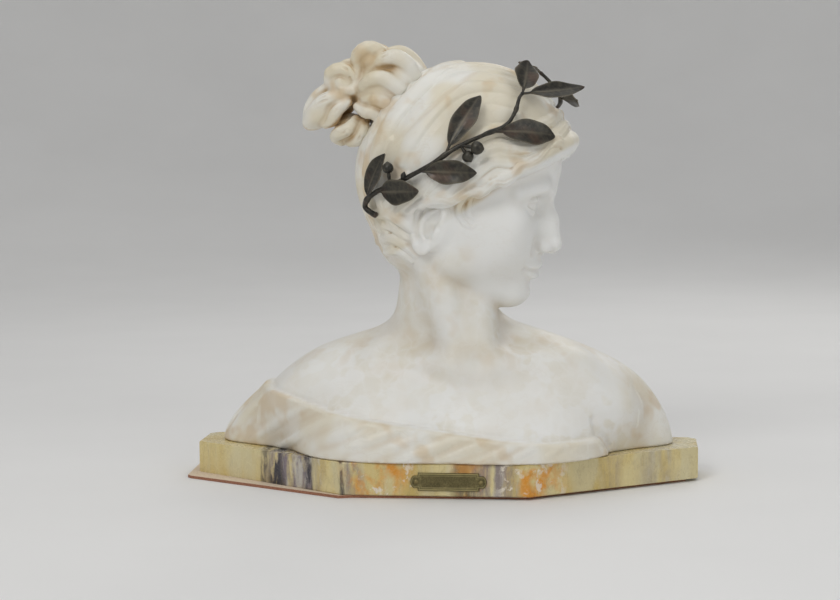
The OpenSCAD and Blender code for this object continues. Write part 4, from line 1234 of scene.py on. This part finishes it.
# back of the head, falling from the crown to the nape
for az in (-170, -158, -146, -134, 180, 170, 158, 146, 134):
    el = (18, 4, -10, -24, -38)
    P = snap([on_hair(az + (8 if az > 0 else -8) * math.sin(i * 0.9), e) for i, e in enumerate(el)])
    strokes["hair"].append((P, (7, 8, 8, 7, 5), (2.0, 2.8, 2.8, 2.4, 1.4), 2))
edge = trace([(98, 301), (91, 296), (80, 284), (68, 280), (57, 268), (45, 267), (34, 257), (22, 259), (10, 250), (-4, 251), (-18, 246)])
edge = np.concatenate([snap([hp(84, -1.5, 160), hp(83, -12, 158)]), edge])
far = (edge - HC) @ RH
far[:, 1] *= -1
far = snap(HC + far @ RH.T)
strokes["roll"] = [edge, far]
strokes["roll_lines"] = []
for q in (edge, far):
    d = np.gradient(q, axis=0)
    o = (q - HAIR_C) / HAIR_R**2
    b = np.cross(d, o)
    b /= np.linalg.norm(b, axis=1)[:, None]
    o /= np.linalg.norm(o, axis=1)[:, None]
    r = ROLL_R[:, None]
    for k in (-0.75, 0.05, 0.8):
        wob = np.sin(np.arange(len(q)) * 0.9 + k * 3)[:, None] * 0.25
        line = q + (o * np.cos(k + wob) + b * np.sin(k + wob)) * r
        strokes["roll_lines"].append((line, 1.5, [0.0] + [-1.1] * (len(q) - 2) + [0.0]))
# creases on both sides of the raised band, on the near side and mirrored
band_edges = []
for line, w, a in (([(29, 359), (5, 341), (-21, 319), (-42, 300), (-47, 290), (-46, 274)], 3.0, -4.2), ([(5, 364), (-23, 347), (-46, 325), (-58, 304), (-64, 288)], 3.0, -3.0)):
    P = trace(line)
    L = (P - HC) @ RH
    L[:, 1] *= -1
    for q in (P, snap(HC + L @ RH.T)):
        o = (q - HAIR_C) / HAIR_R**2
        o /= np.linalg.norm(o, axis=1)[:, None]
        strokes["roll_lines"].append((q + o * 4.0, w, [0.0] + [a] * (len(q) - 2) + [0.0]))
        band_edges.append(q + o * 3.0)
strokes["folds"] = []
for pairs, w, a in FOLDS:
    strokes["folds"].append((trace(pairs), [w * 0.6] + [w] * (len(pairs) - 2) + [w * 0.5], [a * 1.2] + [a * 2.7] * (len(pairs) - 2) + [a * 1.2]))
for k in range(11):
    x = -190 + 38 * k
    P = snap([V(x, 70, 34), V(x + 10, 72, 55), V(x + 22, 66, 84)])
    strokes["folds"].append((P, (6, 7, 4), (1.8, 2.4, 0.8)))
strokes["soft"] = [(trace([(133, 57), (138, 44), (146, 33)]), (5, 6.5, 6), (-2.6, -4.2, -3.6))]


def whole(c):
    base(c)
    dress(c)
    seat_bun(c)
    c.D = smax(c.D, TOP - c.P[..., 2], 1.6)


XS = axis([(-236, -80, 2.2), (-80, 130, 1.05), (130, 236, 2.2)])
YS = axis([(-92, 92, 1.1)])
ZS = axis([(22, 150, 1.9), (150, 388, 1.0)])
v, tris, quads, nrm, hollow = voxel_mesh(XS, YS, ZS, whole, 8.0, 0.0)


def masks(v):
    """Where the stone is warm, where it is blotched, and the painted shade in the drape's valleys and beside the band.
    """
    he = ((v - HC) @ RH) / S + H0
    inhair = step01(6.0, 1.0, -((v - HAIRLINE_P) @ HAIRLINE_N)) * step01(196, 214, v[:, 2])
    hairy = inhair * step01(-30, -10, -np.abs(v[:, 1]) - 0 * v[:, 1] + 78)
    drape = step01(1.0, -1.0, hem(v.astype(f32))) * (v[:, 2] < 135)
    facew = step01(20, 50, he[:, 0]) * step01(-6, 14, he[:, 2]) * (1 - hairy)
    neck = step01(225, 195, v[:, 2]) * step01(95, 130, v[:, 2]) * (1 - facew)
    bare = step01(140, 120, v[:, 2]) * (1 - drape)
    right = step01(150, 175, v[:, 0])
    warm = np.clip(hairy * 0.85 + drape * 0.75 + neck * 0.35 + bare * right * 0.6 + bare * 0.12, 0, 1) * (1 - facew)
    chest = np.clip(bare * (1 - 0.6 * right) + neck * 0.75, 0, 1) * (1 - facew)
    # the ears stay white
    ears = step01(36, 22, np.sqrt((he[:, 0] + 12) ** 2 + 0.5 * (np.abs(he[:, 1]) - 60.5) ** 2 + (he[:, 2] - 58) ** 2))
    warm = warm * (1 - 0.85 * ears)
    # painted shade in the valleys between neighbouring folds of the drape
    i = np.nonzero(drape > 0.05)[0]
    P = v[i].astype(f32)
    d1 = np.full(len(i), 1e3, f32)
    d2 = d1.copy()
    for p, w, a in strokes["folds"]:
        q = spline(p, 14).astype(f32)
        d = np.full(len(i), 1e6, f32)
        for a0, b0 in zip(q[:-1], q[1:]):
            ba = b0 - a0
            h = np.clip((P - a0) @ ba / (ba @ ba), 0, 1)
            d = np.minimum(d, (((P - a0) - h[:, None] * ba) ** 2).sum(-1))
        d = np.sqrt(d)
        d2 = np.minimum(d2, np.maximum(d1, d))
        d1 = np.minimum(d1, d)
    valley_shade = np.zeros(len(v), f32)
    drift = 0.5 + 0.5 * np.sin(P[:, 0] * 0.083 + 1.3 * np.sin(P[:, 2] * 0.11) + 0.7) * np.sin(P[:, 0] * 0.031 + 2.0)
    valley_shade[i] = (0.22 * np.exp(-(((d2 - d1) / 4.0) ** 2)) * step01(20, 9, d1) + 0.09 * np.exp(-(((d1 - 7.5) / 2.6) ** 2)) * step01(30, 16, d2)) * drape[i] * drift
    # painted shade in the creases beside the band
    i = np.nonzero((hairy > 0.3) & (v[:, 2] > 262))[0]
    P = v[i].astype(f32)
    best = np.full(len(i), 1e6, f32)
    for p in band_edges:
        q = spline(p, 16).astype(f32)
        for a0, b0 in zip(q[:-1], q[1:]):
            ba = b0 - a0
            h = np.clip((P - a0) @ ba / (ba @ ba), 0, 1)
            best = np.minimum(best, (((P - a0) - h[:, None] * ba) ** 2).sum(-1))
    valley_shade[i] = np.maximum(valley_shade[i], 0.26 * np.exp(-best / 3.6**2))
    return {"warm": warm, "chest": chest}, valley_shade, ears


mk, valley_shade, ears = masks(v)
# the hollow attribute: the form's hollows darkened partly as grime and partly as painted shade, plus the painted shade
# of the drape's valleys and the band's creases
mk["hollow"] = np.clip(np.maximum(hollow, 0) * (1 - 0.6 * ears) + valley_shade, 0, 1)
bust = big_mesh("bust", v, tris, quads, mk, nrm)
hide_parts("bust_block")
dress_with(bust, alabaster("alabaster_bust"))
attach(bust, "bust")


def knot(c):
    bun(c)
    bun_dress(c)


h = 0.9
v, tris, quads, nrm, hollow = voxel_mesh(axis([(-136, -4, h)]), axis([(-46, 46, h)]), axis([(286, 402, h)]), knot, 8.0, 0.0)
# the curls are darker in their hollows and in the gaps between loops: partly grime, partly painted shade
knot_o = big_mesh("chignon_curls", v, tris, quads, {"warm": np.full(len(v), 0.95), "chest": np.zeros(len(v)), "hollow": hollow}, nrm)
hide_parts("chignon")
dress_with(knot_o, alabaster("alabaster_chignon", 1.10, (0.800, 0.780, 0.725)))
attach(knot_o, "bust")

leafm, stemm = bronze("bronze_leaf", True), bronze("bronze_stem")
for side, p, rows, body_name in (("r", STEM, LEAVES, "laurel_right"), ("l", STEM_L, LEAVES_L, "laurel_left")):
    for i, row in enumerate(rows):
        n = "leaf_%s%d" % (side, i + 1)
        o = leaf_mesh(n + "_cast", p, row, 10 + i + (50 if side == "l" else 0))
        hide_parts(n)
        dress_with(o, leafm)
        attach(o, body_name)
    n = "stem_right" if side == "r" else "stem_left"
    o = stem_mesh(n + "_cast", p, 5)
    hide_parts(n)
    dress_with(o, stemm)
    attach(o, body_name)
    sets = (("berries_r1", [[0.32, 3.6, 14.6, 4.7, 7]]), ("berries_r2", [[0.56, 10.6, -9.1, 5.6, 10.5], [0.56, 1.3, -11.3, 4.9, 5.6]])) if side == "r" else \
        (("berries_l1", [[0.285, 3.6, -14.6, 4.7, 7]]), ("berries_l2", [[0.50, 10.6, 9.1, 5.6, 10.5], [0.50, 1.0, 11.6, 4.9, 5.6]]))
    for n, r in sets:
        o = berry_mesh(n + "_cast", p, r, 3)
        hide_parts(n)
        dress_with(o, stemm)
        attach(o, body_name)


# ------------------------------------------------------------------ nameplate
def plate_mesh():
    """A cast plate with a raised double border, a pebbled field left blank, and round lugs."""
    pw, ph_, t = 65.0, 15.6, 1.4
    nx, nz = 170, 48
    cx, cz, y0 = 12.0, 15.0, -80.0

    def inside(x, z):
        bar = max(abs(x) - (pw - 13) / 2, abs(z) - ph_ / 2)
        lug = max(math.hypot(abs(x) - (pw / 2 - 6.5), z) - 6.5, abs(z) - (ph_ - 5) / 2)
        return min(bar, lug)

    rng = np.random.default_rng(4)
    grit = rng.uniform(-1, 1, (nx + 1, nz + 1))
    pts, proud, sunk, idx = [], [], [], {}
    for i in range(nx + 1):
        x = -pw / 2 + pw * i / nx
        # height of the outline at this x
        zt = ph_ / 2 if abs(x) <= (pw - 13) / 2 else min((ph_ - 5) / 2, math.sqrt(max(0.05, 6.5**2 - max(0, abs(x) - (pw / 2 - 6.5)) ** 2)))
        for j in range(nz + 1):
            z = zt * math.sin(math.pi / 2 * (2 * j / nz - 1))
            e = -inside(x, z)
            e = max(e, 0.0)
            rim = math.exp(-(((e - 1.1) / 0.5) ** 2)) if abs(x) < (pw - 13) / 2 + 0.8 else math.exp(-(((e - 1.0) / 0.5) ** 2)) * 0.6
            rim2 = 0.5 * math.exp(-(((e - 2.6) / 0.35) ** 2)) if abs(x) < (pw - 13) / 2 else 0
            field = 1.0 if e > 3.1 and abs(x) < (pw - 13) / 2 - 3 else 0.0
            bead = 0.0
            h = t * min(1, (e + 0.12) / 0.5) + 0.42 * rim + 0.28 * rim2 + field * (-0.22 + 0.10 * grit[i, j]) + bead + 0.02 * grit[i, j]
            idx[(i, j)] = len(pts)
            pts.append((cx + x, y0 - h, cz + z))
            proud.append(min(1, rim + rim2 * 1.4 + max(0, grit[i, j]) * 0.22))
            sunk.append(field * max(0, -grit[i, j]) * 0.9 + (0.6 if 1.6 < e < 2.2 else 0))
    front = len(pts)
    for i in range(nx + 1):
        for j in range(nz + 1):
            x, _, z = pts[idx[(i, j)]]
            pts.append((x, y0 - 0.02, z))
            proud.append(0)
            sunk.append(0.5)
    faces = []
    for i in range(nx):
        for j in range(nz):
            q = (idx[(i, j)], idx[(i + 1, j)], idx[(i + 1, j + 1)], idx[(i, j + 1)])
            faces.append(q)
            faces.append(tuple(front + k for k in q[::-1]))
    rim = [idx[(i, 0)] for i in range(nx)] + [idx[(nx, j)] for j in range(nz)] + [idx[(i, nz)] for i in range(nx, 0, -1)] + [idx[(0, j)] for j in range(nz, 0, -1)]
    for a, b in zip(rim, rim[1:] + rim[:1]):
        faces.append((a, a + front, b + front, b))
    return fix(mesh_object("nameplate_cast", pts, faces, {"proud": proud, "sunk": sunk}))


plate = plate_mesh()
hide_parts("nameplate")
dress_with(plate, plate_metal("nameplate_brass"))
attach(plate, "bust")

dress_with(N["base_slab"], slab_stone("siena_marble"))
dress_with(N["base_pad"], board("leather_board"))
dress_with(N["nameplate_pins"], metal("pin_brass_worn", (0.16, 0.13, 0.055), (0.36, 0.29, 0.13), 0.42, 0.8))
dress_with(N["tie_rod"], metal("rod_steel", (0.30, 0.30, 0.31), (0.48, 0.48, 0.49), 0.40, stretch=(1, 1, 0.1)))
dress_with(N["tie_washer"], metal("washer_steel", (0.34, 0.34, 0.35), (0.54, 0.54, 0.55), 0.42))
dress_with(N["tie_nut"], metal("nut_steel", (0.28, 0.28, 0.29), (0.46, 0.46, 0.47), 0.40))
dress_with(N["anchor_plug"], metal("plaster", (0.56, 0.54, 0.50), (0.72, 0.70, 0.66), 0.85, 0.0))
dress_with(N["chignon_dowel"], metal("dowel_brass", (0.42, 0.31, 0.12), (0.62, 0.48, 0.22), 0.35))
for k in ("pegs_right", "pegs_left"):
    dress_with(N[k], stemm)
for o in N.values():
    if not o.hide_render:
        o.data.polygons.foreach_set("use_smooth", [False] * len(o.data.polygons))


# ------------------------------------------------------------------ floor, light, camera
def floor_material():
    m, nt, bs = tree("floor_pale")
    link(nt, ramp(nt, noise(nt, coords(nt), 3, 3), [(0.3, (0.78, 0.775, 0.765)), (0.7, (0.81, 0.805, 0.795))]), bs.inputs["Base Color"])
    bs.inputs["Roughness"].default_value = 0.75
    return m


fm = floor_material()
prof = spline([(0.0, 0.0), (0.9, 0.0), (1.9, 0.0), (2.7, 0.10), (3.5, 0.50), (4.1, 1.25), (4.5, 2.4), (4.6, 3.4)], 48)
fv, ff = [(0, 0, -0.1)], []
for i, (r, z) in enumerate(prof[1:]):
    for j in range(72):
        a = 2 * math.pi * j / 72
        fv.append((r * 1000 * math.cos(a), r * 1000 * math.sin(a), max(z, 0) * 1000 - 0.1))
for j in range(72):
    ff.append((0, 1 + j, 1 + (j + 1) % 72))
for i in range(len(prof) - 2):
    for j in range(72):
        q, r = 1 + i * 72 + j, 1 + i * 72 + (j + 1) % 72
        ff.append((q, q + 72, r + 72, r))
floor = mesh_object("floor", fv, ff)
dress_with(floor, fm)


def area(name, loc, target, size, power, colour=(1, 1, 1)):
    d = bpy.data.lights.new(name, "AREA")
    d.shape = "RECTANGLE"
    d.size, d.size_y = size
    d.energy = power
    d.color = colour
    o = bpy.data.objects.new(name, d)
    bpy.context.scene.collection.objects.link(o)
    f = unit(np.array(target, float) - np.array(loc, float))
    up = V(0, 0, 1) if abs(f[2]) < 0.98 else V(0, 1, 0)
    r = unit(np.cross(f, up))
    u = np.cross(r, f)
    o.matrix_world = Matrix([[r[0], u[0], -f[0], loc[0]], [r[1], u[1], -f[1], loc[1]], [r[2], u[2], -f[2], loc[2]], [0, 0, 0, 1]])
    return o


area("key", (-0.75, -1.85, 1.65), (0, 0, 0.18), (0.8, 0.7), 15.5, (1.0, 0.995, 0.985))
area("fill", (1.7, -1.5, 1.0), (0, 0, 0.2), (1.1, 0.9), 6.5, (0.96, 0.98, 1.0))
area("back", (0.6, 1.8, 1.3), (0, 0, 0.2), (1.2, 0.8), 6, (1.0, 0.99, 0.97))
area("sky", (0.0, 0.0, 3.6), (0, 0, 0), (4.5, 4.5), 58, (1.0, 1.0, 1.0))
world = bpy.data.worlds.new("studio")
bpy.context.scene.world = world
world.use_nodes = True
world.node_tree.nodes["Background"].inputs["Color"].default_value = (0.80, 0.81, 0.82, 1)
world.node_tree.nodes["Background"].inputs["Strength"].default_value = 0.25
bpy.context.scene.view_settings.view_transform = "Standard"

cam = bpy.data.cameras.new("view")
cam.sensor_width = 36.0
cam.lens = 2000.0 / 840.0 * 36.0
cam.clip_start, cam.clip_end = 0.05, 20.0
co = bpy.data.objects.new("view", cam)
bpy.context.scene.collection.objects.link(co)
yaw, pitch, roll = -0.1027, -0.0894, -0.0046
fw = V(math.sin(yaw) * math.cos(pitch), math.cos(yaw) * math.cos(pitch), math.sin(pitch))
rt = V(math.cos(yaw), -math.sin(yaw), 0)
up = np.cross(rt, fw)
r2 = math.cos(roll) * rt + math.sin(roll) * up
u2 = -math.sin(roll) * rt + math.cos(roll) * up
co.matrix_world = Matrix([[r2[0], u2[0], -fw[0], CAM[0] / 1000], [r2[1], u2[1], -fw[1], CAM[1] / 1000], [r2[2], u2[2], -fw[2], CAM[2] / 1000], [0, 0, 0, 1]])
bpy.context.scene.camera = co
